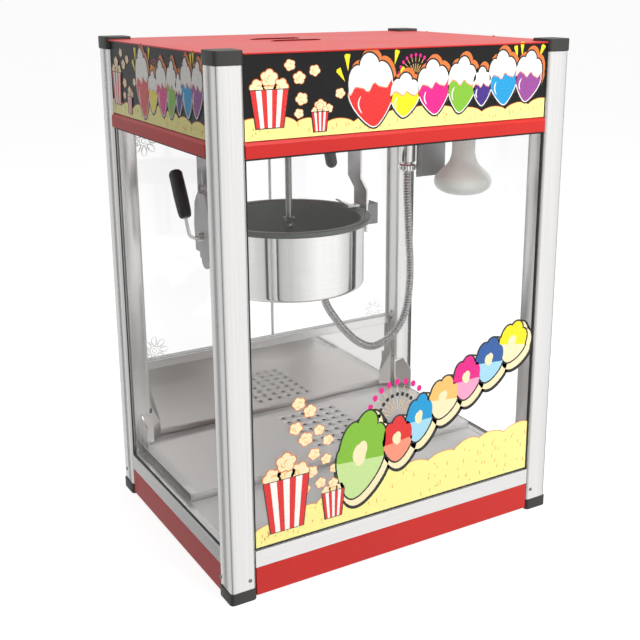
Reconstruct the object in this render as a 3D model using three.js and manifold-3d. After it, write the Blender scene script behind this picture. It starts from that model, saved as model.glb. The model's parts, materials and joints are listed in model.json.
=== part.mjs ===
// Counter-top popcorn machine: an aluminium-post cabinet with glass on three sides, two glass
// doors at the back, a tilting kettle with a stirrer, a warming lamp and a crumb drawer.
// Millimetres, +Z up, front face towards -Y, origin at the middle of the footprint on the table.
import * as THREE from "three";
import Module from "manifold-3d";
import { mergeVertices } from "three/addons/utils/BufferGeometryUtils.js";
import { ConvexGeometry } from "three/addons/geometries/ConvexGeometry.js";

// ---- Driving dimensions -------------------------------------------------------------------
const WIDTH = 560; // over the corner caps, along X
const DEPTH = 420; // over the corner caps, along Y
const HEIGHT = 740; // table to cap tops
const GAP = 0.3; // between pieces that touch
const OVERCUT = 1; // how far a cutting tool reaches past the face it cuts
const FOLD_PLAY = 0.5; // sheet edges stop this short of each other

const CAP_LIP_OUT = 1.5; // cap and foot stand proud of the post's outer faces
const CAP_LIP_IN = 0.5; // and of its inner faces
const CAP_HEIGHT = 17.7;
const FOOT_HEIGHT = 17;
const POST_SIDE = 38; // square aluminium post
const POST_CORNER = 5; // rounded outer corner
const POST_BORE = 17; // square hollow that the cap plugs into
const PLUG_DEPTH = 10;

const GLASS = 4; // pane thickness
const GLASS_INSET = 5; // post face to pane face
const GROOVE_DEPTH = 6;
const GROOVE_PLAY = 0.4;

const SKIRT_BOTTOM = 4;
const SKIRT_TOP = 46;
const SHEET = 1.5; // folded sheet metal
const RAIL_TOP = 71;
const RAIL_DEPTH = 17;
const FACE_INSET = 1.5; // post face to rail and skirt face
const PAN_TOP = 70; // front floor of the cabinet
const DECK_TOP = 83; // raised perforated floor
const DECK_FRONT = -30; // Y of the step
const DECK_PLAY = 1; // deck and shrouds to the side rails
const GUARD_TOP = 203.7;
const GUARD_DEPTH = 16;
const SHROUD_TOP = 137; // front of the shroud round a rear post
const SHROUD_SIDE_TOP = 142;
const LIP_TOP = 122; // outer lip of the shroud
const LIP_LENGTH = 26;
const FACET_X = 218; // where the slanted facet meets the rear wall
const FACET_DEPTH = 9;
const FACET_LOW = 108;
const FACET_HIGH = 150;
const SILL_TOP = 218;

const HEADER_HEIGHT = 131.5; // underside of the header to cap tops
const TRIM_HEIGHT = 20.5;
const TRIM_BEVEL = 4.5;
const TRIM_DEPTH = 14;
const TRIM_INSET = 0.5; // post face to trim face
const CEILING = 1.5; // plate thickness
const SIGN = 3;
const SIGN_INSET = 4; // post face to sign face
const PANEL_DROP = 4; // cap tops to the top panel
const PANEL = 2;

const KETTLE_X = -89;
const KETTLE_Y = -34;
const TILT_DROP = 134.5; // header to the kettle's pivot
const RIM_RADIUS = 120;
const RIM_RISE = 16; // pivot to rim top
const RIM_THICKNESS = 8;
const SHELL_RADIUS = 110;
const SHELL_DROP = 87; // pivot to the kettle's underside
const SHELL_WALL = 1.5;
const SHELL_CORNER = 12;
const BOWL_RADIUS = 105; // inside of the cooking bowl
const BOWL_DROP = 49; // pivot to the cooking floor
const BOWL_WALL = 2.5;
const HEATER_RADIUS = 90;
const HEATER_HEIGHT = 14.2;
const PAD_LEFT = 16; // half width of a pivot's pad on the shell
const PAD_RIGHT = 12;

const PIN_RADIUS = 6;
const PIN_PLAY = 0.5;
const HANGER_WIDTH = 36;
const HANGER_SHEET = 3;
const HANGER_LEFT_X = -222;
const HANGER_RIGHT_X = 35; // at the pivot, below the crank
const HANGER_CRANK = 11; // sideways step of the right strap
const BLOCK_SIDE = 22; // bearing block at the right strap
const GRIP_RADIUS = 10;
const GRIP_LENGTH = 70;
const GRIP_REACH = 25; // left strap to the grip
const WIRE_RADIUS = 2.4;

const SHAFT_RADIUS = 4.75;
const SHAFT_RISE = 66.5; // header underside to the shaft's top
const COLLAR_RADIUS = 8.5;
const SLEEVE_RADIUS = 6;
const ARM_REACH = 94;
const FLANGE_RADIUS = 9;
const FLANGE_THICKNESS = 2.6;
const CARRIER_RADIUS = 12;
const CARRIER_LUG = 20; // reach of the carrier's lugs
const DOG_DROP = 10.6; // how far the dogs hang below the collar
const DOG_NEAR = 1.9; // a dog, from the shaft's axis
const DOG_FAR = 4.5;
const CROSS_PIN_RADIUS = 1.4;
const HUB_RADIUS = 9;
const SPINDLE_RADIUS = 4.5;
const MOTOR_RISE = 35.5; // header floor to the gear box
const MOTOR_HEIGHT = 43;
const MOTOR_HALF_X = 40;
const MOTOR_HALF_Y = 27;
const CAN_RADIUS = 25;
const CAN_LENGTH = 60;

const LEVER_Y = 40; // pivot of the lift lever
const LEVER_RISE = 15.5; // header underside to the lever's pivot
const LEVER_ROD = 4;
const LUG_XS = [-62, -30]; // lugs that carry the lever's cross rod
const FORK_HALF = 16.5; // kettle's axis to a fork arm
const FORK_WIDTH = 5;
const LEVER_GRIP_RADIUS = 9;

const LAMP_X = 216;
const LAMP_Y = -50;
const LAMP_RADIUS = 46;
const LAMP_DROP = 116.5; // header to the bulb's face

const SOCKET_X = 150;
const SOCKET_Y = 10;
const CONDUIT_RADIUS = 6.5;
const NUT_DROP = 81.5; // header to the socket's ring nut
const GLAND_X = -12;
const GLAND_Y = 2;
const GLAND_LENGTH = 16;
const GLAND_RADIUS = 10;

const DOOR = 5; // acrylic door thickness
const DOOR_Y = 199.5; // middle of the pane
const DOOR_EDGE = 1.3; // pane edge to post
const DOOR_SPLIT = 0.6; // pane edge to the middle of the cabinet
const DOOR_CLEARANCE = 1.5; // above and below the panes

const PULL_NEAR = 16; // door pull, from the middle of the cabinet
const PULL_FAR = 30;
const PULL_LENGTH = 90;

const DRAWER_X = 40; // middle of the drawer
const DRAWER_WIDTH = 150;
const DRAWER_LENGTH = 190;
const DRAWER_HEIGHT = 34;
const DRAWER_PLAY = 1;
const CHUTE_INSET = 15; // drawer side to the chute above it
const CHUTE_BACK = 165;

const HOLES_X = 38.5; // middle of the crumb holes
const HOLE_FIRST_Y = 21;
const HOLE_PITCH_X = 19.1;
const HOLE_PITCH_Y = 21.1;
const HOLES_IN_ROW = 6;
const HOLE_ROWS = 7;
const HOLE_RADIUS = 3.2;

const SWITCHES = [110, 150, 190]; // X of each rocker
const SWITCH_RISE = 75.5; // header underside to the middle of the switches
const ROCKER_WIDTH = 22;
const ROCKER_HEIGHT = 15;
const ROCKER_PLAY = 0.5;
const WELL_DEPTH = 14; // hollow behind a rocker
const WELL_WALL = 4;
const INLET_X = -200;
const INLET_RADIUS = 11;
const INLET_DROP = 16; // switches to the inlet

const LOUVRES = [[-58, 62], [-52, 8]]; // X and Y of each slot in the top
const LOUVRE_LENGTH = 68;
const LOUVRE_WIDTH = 6;

// ---- Places that follow from them ---------------------------------------------------------
const CAP_SIDE = POST_SIDE + CAP_LIP_OUT + CAP_LIP_IN; // square corner cap
const POST_X = WIDTH / 2 - CAP_LIP_OUT; // outer face of a post
const POST_Y = DEPTH / 2 - CAP_LIP_OUT;
const INNER_X = POST_X - POST_SIDE; // inner face of a post
const INNER_Y = POST_Y - POST_SIDE;
const SPAN_X = INNER_X - GAP; // half length of what fits between the posts
const SPAN_Y = INNER_Y - GAP;
const FACE_X = POST_X - FACE_INSET;
const FACE_Y = POST_Y - FACE_INSET;
const CAP_SPAN_X = WIDTH / 2 - CAP_SIDE - GAP;
const CAP_SPAN_Y = DEPTH / 2 - CAP_SIDE - GAP;
const TRAY_BOTTOM = HEIGHT - HEADER_HEIGHT; // underside of the header
const PANEL_TOP = HEIGHT - PANEL_DROP;
const TRIM_TOP = TRAY_BOTTOM + TRIM_HEIGHT;
const CEILING_TOP = TRAY_BOTTOM + CEILING * 2;
const SIGN_TOP = PANEL_TOP - PANEL - GAP;
const SIGN_BOTTOM = TRIM_TOP + GAP;
const RAIL_BOTTOM = SKIRT_TOP + GAP;
const GLASS_BOTTOM = RAIL_TOP + GAP;
const GLASS_TOP = TRAY_BOTTOM - GAP;
const DOOR_BOTTOM = SILL_TOP + DOOR_CLEARANCE;
const BORE_RADIUS = PIN_RADIUS + PIN_PLAY;
const TILT_Z = TRAY_BOTTOM - TILT_DROP;
const RIM_TOP = TILT_Z + RIM_RISE;
const SHELL_BOTTOM = TILT_Z - SHELL_DROP;
const BOWL_BOTTOM = TILT_Z - BOWL_DROP;
const SHAFT_TOP = TRAY_BOTTOM + SHAFT_RISE;
const LEVER_Z = TRAY_BOTTOM + LEVER_RISE;
const LAMP_BOTTOM = TRAY_BOTTOM - LAMP_DROP;
const NUT_BOTTOM = TRAY_BOTTOM - NUT_DROP;
const SWITCH_Z = TRAY_BOTTOM + SWITCH_RISE;
const CARRIER_BOTTOM = CEILING_TOP + 7.5; // at rest, above the ceiling plate
const CARRIER_HEIGHT = 11;
const FLANGE_BOTTOM = CARRIER_BOTTOM + CARRIER_HEIGHT + 0.4; // flange of the drive shaft

const wasm = await Module();
wasm.setup();

// ---- Solid helpers ------------------------------------------------------------------------
function toSolid(geometry) {
  const bare = geometry.index ? geometry.toNonIndexed() : geometry.clone();
  bare.deleteAttribute("normal");
  bare.deleteAttribute("uv");
  const merged = mergeVertices(bare, 1e-4);
  return new wasm.Manifold(new wasm.Mesh({
    numProp: 3,
    vertProperties: new Float32Array(merged.attributes.position.array),
    triVerts: new Uint32Array(merged.index.array),
  }));
}

function toGeometry(solid) {
  const made = solid.getMesh();
  const geometry = new THREE.BufferGeometry();
  geometry.setAttribute("position", new THREE.BufferAttribute(new Float32Array(made.vertProperties), 3));
  geometry.setIndex(new THREE.BufferAttribute(new Uint32Array(made.triVerts), 1));
  geometry.computeVertexNormals();
  return geometry;
}

function join(...geometries) {
  const solids = geometries.map(toSolid);
  return toGeometry(solids.reduce((sum, solid) => sum.add(solid)));
}

function cut(geometry, ...tools) {
  const whole = toSolid(geometry);
  return toGeometry(tools.map(toSolid).reduce((rest, tool) => rest.subtract(tool), whole));
}

// A block between two values on each axis, given in either order.
function box(x0, x1, y0, y1, z0, z1) {
  const geometry = new THREE.BoxGeometry(Math.abs(x1 - x0), Math.abs(y1 - y0), Math.abs(z1 - z0));
  return geometry.translate((x0 + x1) / 2, (y0 + y1) / 2, (z0 + z1) / 2);
}

// A round bar from one point to another.
function rod(radius, from, to, sides = 20) {
  const a = new THREE.Vector3(...from);
  const b = new THREE.Vector3(...to);
  const along = b.clone().sub(a);
  const geometry = new THREE.CylinderGeometry(radius, radius, along.length(), sides);
  const up = new THREE.Vector3(0, 1, 0);
  geometry.applyQuaternion(new THREE.Quaternion().setFromUnitVectors(up, along.clone().normalize()));
  const middle = a.add(b).multiplyScalar(0.5);
  return geometry.translate(middle.x, middle.y, middle.z);
}

// A turned piece: profile points are [radius, height], spun about a vertical axis at x, y.
function turned(profile, x, y, sides) {
  const points = profile.map(([radius, height]) => new THREE.Vector2(radius, height));
  const geometry = new THREE.LatheGeometry(points, sides);
  return geometry.rotateX(Math.PI / 2).translate(x, y, 0);
}

// Points of a quarter round between two directions, for turned profiles.
function arc(cx, cz, radius, fromDegrees, toDegrees, steps) {
  const points = [];
  for (let i = 0; i <= steps; i += 1) {
    const angle = THREE.MathUtils.degToRad(fromDegrees + ((toDegrees - fromDegrees) * i) / steps);
    points.push([cx + radius * Math.cos(angle), cz + radius * Math.sin(angle)]);
  }
  return points;
}

// A flat outline in X and Y, raised from z0 to z1.
function raised(outline, z0, z1, holes = []) {
  const shape = new THREE.Shape(outline.map(([x, y]) => new THREE.Vector2(x, y)));
  for (const hole of holes) {
    shape.holes.push(new THREE.Path(hole.map(([x, y]) => new THREE.Vector2(x, y))));
  }
  const geometry = new THREE.ExtrudeGeometry(shape, { depth: z1 - z0, bevelEnabled: false });
  return geometry.translate(0, 0, z0);
}

// An outline drawn in Y and Z, running along X from x0 to x1.
function alongX(outline, x0, x1) {
  const geometry = raised(outline, 0, Math.abs(x1 - x0));
  const turn = new THREE.Matrix4().makeBasis(
    new THREE.Vector3(0, 1, 0), new THREE.Vector3(0, 0, 1), new THREE.Vector3(1, 0, 0));
  return geometry.applyMatrix4(turn).translate(Math.min(x0, x1), 0, 0);
}

// An outline drawn in X and Z, running along Y from y0 to y1.
function alongY(outline, y0, y1) {
  const geometry = raised(outline.map(([x, z]) => [-x, z]), 0, y1 - y0);
  const turn = new THREE.Matrix4().makeBasis(
    new THREE.Vector3(-1, 0, 0), new THREE.Vector3(0, 0, 1), new THREE.Vector3(0, 1, 0));
  return geometry.applyMatrix4(turn).translate(0, y0, 0);
}

// A plus-shaped outline: a rectangle whose corners are notched for the posts.
function notched(halfX, halfY, notchX, notchY) {
  return [
    [-notchX, -halfY], [notchX, -halfY], [notchX, -notchY], [halfX, -notchY],
    [halfX, notchY], [notchX, notchY], [notchX, halfY], [-notchX, halfY],
    [-notchX, notchY], [-halfX, notchY], [-halfX, -notchY], [-notchX, -notchY],
  ];
}

function roundedSquare(side, radius, x, y) {
  const half = side / 2;
  const centre = half - radius;
  const points = [];
  for (const [sx, sy, start] of [[1, 1, 0], [-1, 1, 90], [-1, -1, 180], [1, -1, 270]]) {
    for (const [px, py] of arc(sx * centre, sy * centre, radius, start, start + 90, 3)) {
      points.push([x + px, y + py]);
    }
  }
  return points;
}

function square(side, x, y) {
  const half = side / 2;
  return [[x - half, y - half], [x + half, y - half], [x + half, y + half], [x - half, y + half]];
}

// A tube along a smooth curve through points, closed at both ends.
function bentBar(points, radius, sides, steps) {
  const curve = new THREE.CatmullRomCurve3(points.map((p) => new THREE.Vector3(...p)));
  const section = new THREE.Shape();
  for (let i = 0; i < sides; i += 1) {
    const angle = (2 * Math.PI * i) / sides;
    const place = [radius * Math.cos(angle), radius * Math.sin(angle)];
    if (i === 0) section.moveTo(...place);
    else section.lineTo(...place);
  }
  section.closePath();
  return new THREE.ExtrudeGeometry(section, { steps, extrudePath: curve, bevelEnabled: false });
}

function hull(points) {
  return new ConvexGeometry(points.map((p) => new THREE.Vector3(...p)));
}

// ---- Materials ----------------------------------------------------------------------------
function finish(color, roughness, metalness) {
  return new THREE.MeshStandardMaterial({ color, roughness, metalness });
}
const aluminium = finish(0xe2dfdd, 0.35, 0.8);
const blackPlastic = finish(0x3a3935, 0.5, 0);
const redPaint = finish(0xc93a34, 0.4, 0.1);
const steel = finish(0xcfcdcc, 0.25, 0.9);
const polished = finish(0xe6e3e1, 0.08, 1);
const darkEnamel = finish(0x47433d, 0.55, 0.2);
const castMetal = finish(0x8d8b87, 0.6, 0.6);
const clearGlass = finish(0xf4f7f6, 0.05, 0);
clearGlass.transparent = true;
clearGlass.opacity = 0.25;
const signPrint = finish(0xf3ea9a, 0.35, 0);
const lampGlass = finish(0xe4e2da, 0.3, 0);
const ceramic = finish(0xf2efe8, 0.4, 0);

const group = new THREE.Group();
function add(name, geometry, material) {
  const mesh = new THREE.Mesh(geometry, material);
  mesh.name = name;
  group.add(mesh);
}

// ---- Cabinet corners ----------------------------------------------------------------------
const CORNERS = [
  ["front_left", -1, -1], ["front_right", 1, -1], ["rear_left", -1, 1], ["rear_right", 1, 1],
];

function post(sx, sy) {
  const x = sx * (POST_X - POST_SIDE / 2);
  const y = sy * (POST_Y - POST_SIDE / 2);
  const bore = square(POST_BORE, x, y);
  const bar = raised(roundedSquare(POST_SIDE, POST_CORNER, x, y), FOOT_HEIGHT + GAP,
    HEIGHT - CAP_HEIGHT - GAP, [bore]);
  const side = paneGrooveX(sx, sy);
  if (sy > 0) return cut(bar, side);
  return cut(bar, side, paneGrooveY(sx, sy));
}

// Groove for a side pane, in the face of a post that looks along Y.
function paneGrooveX(sx, sy) {
  const outer = POST_X - GLASS_INSET + GROOVE_PLAY;
  const inner = outer - GLASS - 2 * GROOVE_PLAY;
  return box(sx * inner, sx * outer, sy * (INNER_Y - OVERCUT), sy * (INNER_Y + GROOVE_DEPTH), 0, HEIGHT);
}

// Groove for the front pane, in the face of a post that looks along X.
function paneGrooveY(sx, sy) {
  const outer = POST_Y - GLASS_INSET + GROOVE_PLAY;
  const inner = outer - GLASS - 2 * GROOVE_PLAY;
  return box(sx * (INNER_X - OVERCUT), sx * (INNER_X + GROOVE_DEPTH), sy * inner, sy * outer, 0, HEIGHT);
}

function cornerPiece(sx, sy, z0, z1, plug0, plug1) {
  const x = sx * (WIDTH / 2 - CAP_SIDE / 2);
  const y = sy * (DEPTH / 2 - CAP_SIDE / 2);
  const postX = sx * (POST_X - POST_SIDE / 2);
  const postY = sy * (POST_Y - POST_SIDE / 2);
  const body = raised(roundedSquare(CAP_SIDE, POST_CORNER + 1, x, y), z0, z1);
  const plug = raised(square(POST_BORE - 2 * GAP, postX, postY), plug0, plug1);
  return join(body, plug);
}

for (const [name, sx, sy] of CORNERS) {
  add(`post_${name}`, post(sx, sy), aluminium);
  const capBottom = HEIGHT - CAP_HEIGHT;
  const plugTop = FOOT_HEIGHT + PLUG_DEPTH;
  const cap = cornerPiece(sx, sy, capBottom, HEIGHT, capBottom - PLUG_DEPTH, capBottom + OVERCUT);
  const foot = cornerPiece(sx, sy, 0, FOOT_HEIGHT, FOOT_HEIGHT - OVERCUT, plugTop);
  add(`cap_${name}`, cap, blackPlastic);
  add(`foot_${name}`, foot, blackPlastic);
}

// ---- Base ---------------------------------------------------------------------------------
function baseBox() {
  const outside = raised(notched(FACE_X, FACE_Y, CAP_SPAN_X, CAP_SPAN_Y), SKIRT_BOTTOM, SKIRT_TOP);
  const inside = raised(
    notched(FACE_X - SHEET, FACE_Y - SHEET, CAP_SPAN_X - SHEET, CAP_SPAN_Y - SHEET),
    SKIRT_BOTTOM + SHEET, SKIRT_TOP + OVERCUT);
  const half = DRAWER_WIDTH / 2 + DRAWER_PLAY;
  const bottom = SKIRT_BOTTOM + SHEET;
  const doorway = box(DRAWER_X - half, DRAWER_X + half, FACE_Y - SHEET - OVERCUT, FACE_Y + OVERCUT,
    bottom, bottom + DRAWER_HEIGHT + 2 * DRAWER_PLAY);
  return cut(outside, inside, doorway);
}

function railX(sy, z0, z1) {
  return box(-SPAN_X, SPAN_X, sy * (FACE_Y - RAIL_DEPTH), sy * FACE_Y, z0, z1);
}

function railY(sx) {
  return box(sx * (FACE_X - RAIL_DEPTH), sx * FACE_X, -SPAN_Y, SPAN_Y, RAIL_BOTTOM, RAIL_TOP);
}

function basePan() {
  const halfX = FACE_X - RAIL_DEPTH - GAP;
  const halfY = FACE_Y - RAIL_DEPTH - GAP;
  const sheet = raised(notched(halfX, halfY, SPAN_X, SPAN_Y), PAN_TOP - SHEET, PAN_TOP);
  const side = DRAWER_WIDTH / 2 - CHUTE_INSET;
  const chute = box(DRAWER_X - side, DRAWER_X + side, HOLE_FIRST_Y - CHUTE_INSET, CHUTE_BACK, 0, HEIGHT);
  return cut(sheet, chute);
}

// Raised floor with one patch of crumb holes and a folded front edge.
function deck() {
  const halfX = FACE_X - RAIL_DEPTH - DECK_PLAY;
  const back = FACE_Y - GUARD_DEPTH - GAP - FOLD_PLAY;
  const outline = [
    [-halfX, DECK_FRONT], [halfX, DECK_FRONT], [halfX, SPAN_Y], [SPAN_X, SPAN_Y],
    [SPAN_X, back], [-SPAN_X, back], [-SPAN_X, SPAN_Y], [-halfX, SPAN_Y],
  ];
  const holes = [];
  for (let row = 0; row < HOLE_ROWS; row += 1) {
    for (let i = 0; i < HOLES_IN_ROW; i += 1) {
      const x = HOLES_X + (i - (HOLES_IN_ROW - 1) / 2) * HOLE_PITCH_X;
      const y = HOLE_FIRST_Y + row * HOLE_PITCH_Y;
      holes.push(arc(x, y, HOLE_RADIUS, 360, 60, 5));
    }
  }
  const sheet = raised(outline, DECK_TOP - SHEET, DECK_TOP, holes);
  const fold = box(-halfX, halfX, DECK_FRONT, DECK_FRONT + SHEET, PAN_TOP + GAP, DECK_TOP - FOLD_PLAY);
  return join(sheet, fold);
}

// Low rear wall: one sheet folded over into a double skin, with a shroud round each rear post.
function rearGuard() {
  const outer = FACE_Y;
  const inner = FACE_Y - GUARD_DEPTH;
  const bottom = RAIL_TOP + GAP;
  const section = [
    [inner, DECK_TOP + GAP], [inner + SHEET, DECK_TOP + GAP], [inner + SHEET, GUARD_TOP - SHEET],
    [outer - SHEET, GUARD_TOP - SHEET], [outer - SHEET, bottom], [outer, bottom],
    [outer, GUARD_TOP], [inner, GUARD_TOP],
  ];
  const wall = alongX(section, -SPAN_X, SPAN_X);
  return join(wall, ...shroud(-1), ...shroud(1));
}

// Shroud of a rear post: a slanted facet from the wall, a side, a front and an outer lip.
function shroud(sx) {
  const foot = DECK_TOP + GAP;
  const wallY = FACE_Y - GUARD_DEPTH + 0.2; // just inside the wall, so that they join
  const frontY = SPAN_Y - SHEET;
  const inner = SPAN_X - SHEET;
  const reach = FACE_X - RAIL_DEPTH - DECK_PLAY;
  const corners = [
    [SPAN_X, wallY - FACET_DEPTH, foot], [FACET_X, wallY, foot], [FACET_X, wallY, FACET_LOW],
    [SPAN_X, wallY - 1, GUARD_TOP - 6], [SPAN_X, wallY - FACET_DEPTH, FACET_HIGH],
  ].map(([x, y, z]) => [sx * x, y, z]);
  const facet = hull([...corners, ...corners.map(([x, y, z]) => [x, y + SHEET, z])]);
  const side = box(sx * inner, sx * SPAN_X, frontY, wallY - 7, foot, SHROUD_SIDE_TOP);
  const front = box(sx * inner, sx * reach, frontY, SPAN_Y, foot, SHROUD_TOP);
  const lipY = frontY + 0.4; // inside the front sheet
  const outline = [
    [lipY - LIP_LENGTH, LIP_TOP], [lipY - LIP_LENGTH, foot], [lipY, foot], [lipY, SHROUD_TOP],
  ];
  const lip = alongX(outline, sx * (reach - SHEET), sx * reach);
  return [facet, side, front, lip];
}

// Crumb drawer: open tray behind a front plate with a finger slot.
function drawer() {
  const half = DRAWER_WIDTH / 2;
  const floor = SKIRT_BOTTOM + SHEET + DRAWER_PLAY;
  const x0 = DRAWER_X - half;
  const x1 = DRAWER_X + half;
  const front = FACE_Y + GAP;
  const back = front - DRAWER_LENGTH;
  const tray = cut(
    box(x0, x1, back, front + OVERCUT, floor, floor + DRAWER_HEIGHT),
    box(x0 + SHEET, x1 - SHEET, back + SHEET, front - 2 * SHEET, floor + SHEET, SKIRT_TOP));
  const lap = 5; // front plate past the tray's sides
  const plate = box(x0 - lap, x1 + lap, front, front + 2.2, floor, SKIRT_TOP - 2);
  const slotHalf = 20;
  const slot = box(DRAWER_X - slotHalf, DRAWER_X + slotHalf, front - 9, front + 9, floor + 14,
    floor + 26);
  return cut(join(tray, plate), slot);
}

add("base_box", baseBox(), redPaint);
add("rail_front", railX(-1, RAIL_BOTTOM, RAIL_TOP), aluminium);
add("rail_rear", railX(1, RAIL_BOTTOM, RAIL_TOP), aluminium);
add("rail_left", railY(-1), aluminium);
add("rail_right", railY(1), aluminium);
add("base_pan", basePan(), steel);
add("deck", deck(), steel);
add("rear_guard", rearGuard(), steel);
add("door_sill", railX(1, GUARD_TOP + GAP, SILL_TOP), aluminium);
add("crumb_drawer", drawer(), steel);

// ---- Glass --------------------------------------------------------------------------------
function paneX() {
  const outer = POST_Y - GLASS_INSET;
  const half = INNER_X + GROOVE_DEPTH - GROOVE_PLAY;
  return box(-half, half, -outer, -outer + GLASS, GLASS_BOTTOM, GLASS_TOP);
}

function paneY(sx) {
  const outer = POST_X - GLASS_INSET;
  const half = INNER_Y + GROOVE_DEPTH - GROOVE_PLAY;
  return box(sx * (outer - GLASS), sx * outer, -half, half, GLASS_BOTTOM, GLASS_TOP);
}

add("glass_front", paneX(), clearGlass);
add("glass_left", paneY(-1), clearGlass);
add("glass_right", paneY(1), clearGlass);

// ---- Doors --------------------------------------------------------------------------------
function doorPane(sx) {
  return box(sx * DOOR_SPLIT, sx * (INNER_X - DOOR_EDGE), DOOR_Y - DOOR / 2, DOOR_Y + DOOR / 2,
    DOOR_BOTTOM, TRAY_BOTTOM - DOOR_CLEARANCE);
}

// Strip pull: a plate on a narrower foot.
function doorPull(sx) {
  const face = DOOR_Y + DOOR / 2 + GAP;
  const middle = (DOOR_BOTTOM + TRAY_BOTTOM) / 2 - 9;
  const foot = PULL_LENGTH / 2 - 10;
  return join(
    box(sx * (PULL_NEAR + 4), sx * (PULL_FAR - 4), face, face + 5, middle - foot, middle + foot),
    box(sx * PULL_NEAR, sx * PULL_FAR, face + 4, face + 7, middle - PULL_LENGTH / 2,
      middle + PULL_LENGTH / 2));
}

add("door_left", doorPane(-1), clearGlass);
add("door_right", doorPane(1), clearGlass);
add("door_pull_left", doorPull(-1), steel);
add("door_pull_right", doorPull(1), steel);

// ---- Header -------------------------------------------------------------------------------
function trimBar(face, half) {
  const back = face - TRIM_DEPTH;
  const outline = [
    [-face, TRAY_BOTTOM], [-back, TRAY_BOTTOM], [-back, TRIM_TOP], [-(face - TRIM_BEVEL), TRIM_TOP],
    [-face, TRIM_TOP - TRIM_BEVEL],
  ];
  return alongX(outline, -half, half);
}

// Red tray whose edges are the trim under the signs and whose floor is the cabinet's ceiling.
function headerTray() {
  const bars = [0, 1, 2, 3].map((turn) => {
    const alongFront = turn % 2 === 0;
    const bar = alongFront
      ? trimBar(POST_Y - TRIM_INSET, SPAN_X) : trimBar(POST_X - TRIM_INSET, SPAN_Y);
    return bar.rotateZ((turn * Math.PI) / 2);
  });
  const floor = raised(notched(POST_X - 10, POST_Y - 10, SPAN_X, SPAN_Y), TRAY_BOTTOM + CEILING,
    CEILING_TOP);
  const lugs = LUG_XS.map((x) => box(x, x + SHEET * 2, LEVER_Y - 9, LEVER_Y + 9,
    CEILING_TOP - OVERCUT, LEVER_Z + 9));
  const tray = join(...bars, floor, ...lugs);
  const low = TRAY_BOTTOM - OVERCUT;
  const high = LEVER_Z - 8;
  const leverHole = rod(LEVER_ROD + PIN_PLAY, [-80, LEVER_Y, LEVER_Z], [-20, LEVER_Y, LEVER_Z]);
  return cut(tray,
    rod(SHAFT_RADIUS * 2, [KETTLE_X, KETTLE_Y, low], [KETTLE_X, KETTLE_Y, high]),
    rod(24, [LAMP_X, LAMP_Y, low], [LAMP_X, LAMP_Y, high], 32),
    rod(9, [SOCKET_X, SOCKET_Y, low], [SOCKET_X, SOCKET_Y, high]),
    box(-26, 14, LEVER_Y - 22, LEVER_Y + 12, low, high),
    leverHole);
}

function signX(sy) {
  const outer = POST_Y - SIGN_INSET;
  return box(-CAP_SPAN_X, CAP_SPAN_X, sy * (outer - SIGN), sy * outer, SIGN_BOTTOM, SIGN_TOP);
}

function signY(sx) {
  const outer = POST_X - SIGN_INSET;
  return box(sx * (outer - SIGN), sx * outer, -CAP_SPAN_Y, CAP_SPAN_Y, SIGN_BOTTOM, SIGN_TOP);
}

// Rear header panel with a well behind each rocker switch.
function rearPanel() {
  const face = POST_Y - SIGN_INSET;
  const outX = ROCKER_WIDTH / 2 + WELL_WALL;
  const outZ = ROCKER_HEIGHT / 2 + WELL_WALL - 0.5;
  const inX = ROCKER_WIDTH / 2 + ROCKER_PLAY;
  const inZ = ROCKER_HEIGHT / 2 + ROCKER_PLAY;
  const wells = SWITCHES.map((x) => box(x - outX, x + outX, face - WELL_DEPTH, face - OVERCUT,
    SWITCH_Z - outZ, SWITCH_Z + outZ));
  const openings = SWITCHES.map((x) => box(x - inX, x + inX, face - WELL_DEPTH + 2, face + OVERCUT,
    SWITCH_Z - inZ, SWITCH_Z + inZ));
  return cut(join(signX(1), ...wells), ...openings);
}

// Rocker with a face folded at its middle, which tips about X.
function rocker(x) {
  const face = POST_Y - SIGN_INSET;
  const half = ROCKER_HEIGHT / 2 - 0.9;
  const outline = [
    [face - 5, SWITCH_Z - 4], [face + 3.4, SWITCH_Z - half], [face + 1.4, SWITCH_Z],
    [face + 1.4, SWITCH_Z + half], [face - 5, SWITCH_Z + 4],
  ];
  return alongX(outline, x - ROCKER_WIDTH / 2, x + ROCKER_WIDTH / 2);
}

function topPanel() {
  const sheet = raised(notched(FACE_X, FACE_Y, CAP_SPAN_X, CAP_SPAN_Y), PANEL_TOP - PANEL, PANEL_TOP);
  const louvres = LOUVRES.map(([x, y]) => box(x - LOUVRE_LENGTH / 2, x + LOUVRE_LENGTH / 2,
    y - LOUVRE_WIDTH / 2, y + LOUVRE_WIDTH / 2, SIGN_BOTTOM, HEIGHT));
  return cut(sheet, ...louvres);
}

// Mains lead inlet on the rear header panel.
function cordInlet() {
  const face = POST_Y - SIGN_INSET + GAP;
  const z = SWITCH_Z - INLET_DROP;
  return rod(INLET_RADIUS, [INLET_X, face, z], [INLET_X, face + 5, z], 24);
}

add("header_tray", headerTray(), redPaint);
add("sign_front", signX(-1), signPrint);
add("sign_left", signY(-1), signPrint);
add("sign_right", signY(1), signPrint);
add("rear_panel", rearPanel(), redPaint);
add("top_panel", topPanel(), redPaint);
SWITCHES.forEach((x, i) => add(`rocker_${i + 1}`, rocker(x), blackPlastic));
add("cord_inlet", cordInlet(), blackPlastic);

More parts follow.
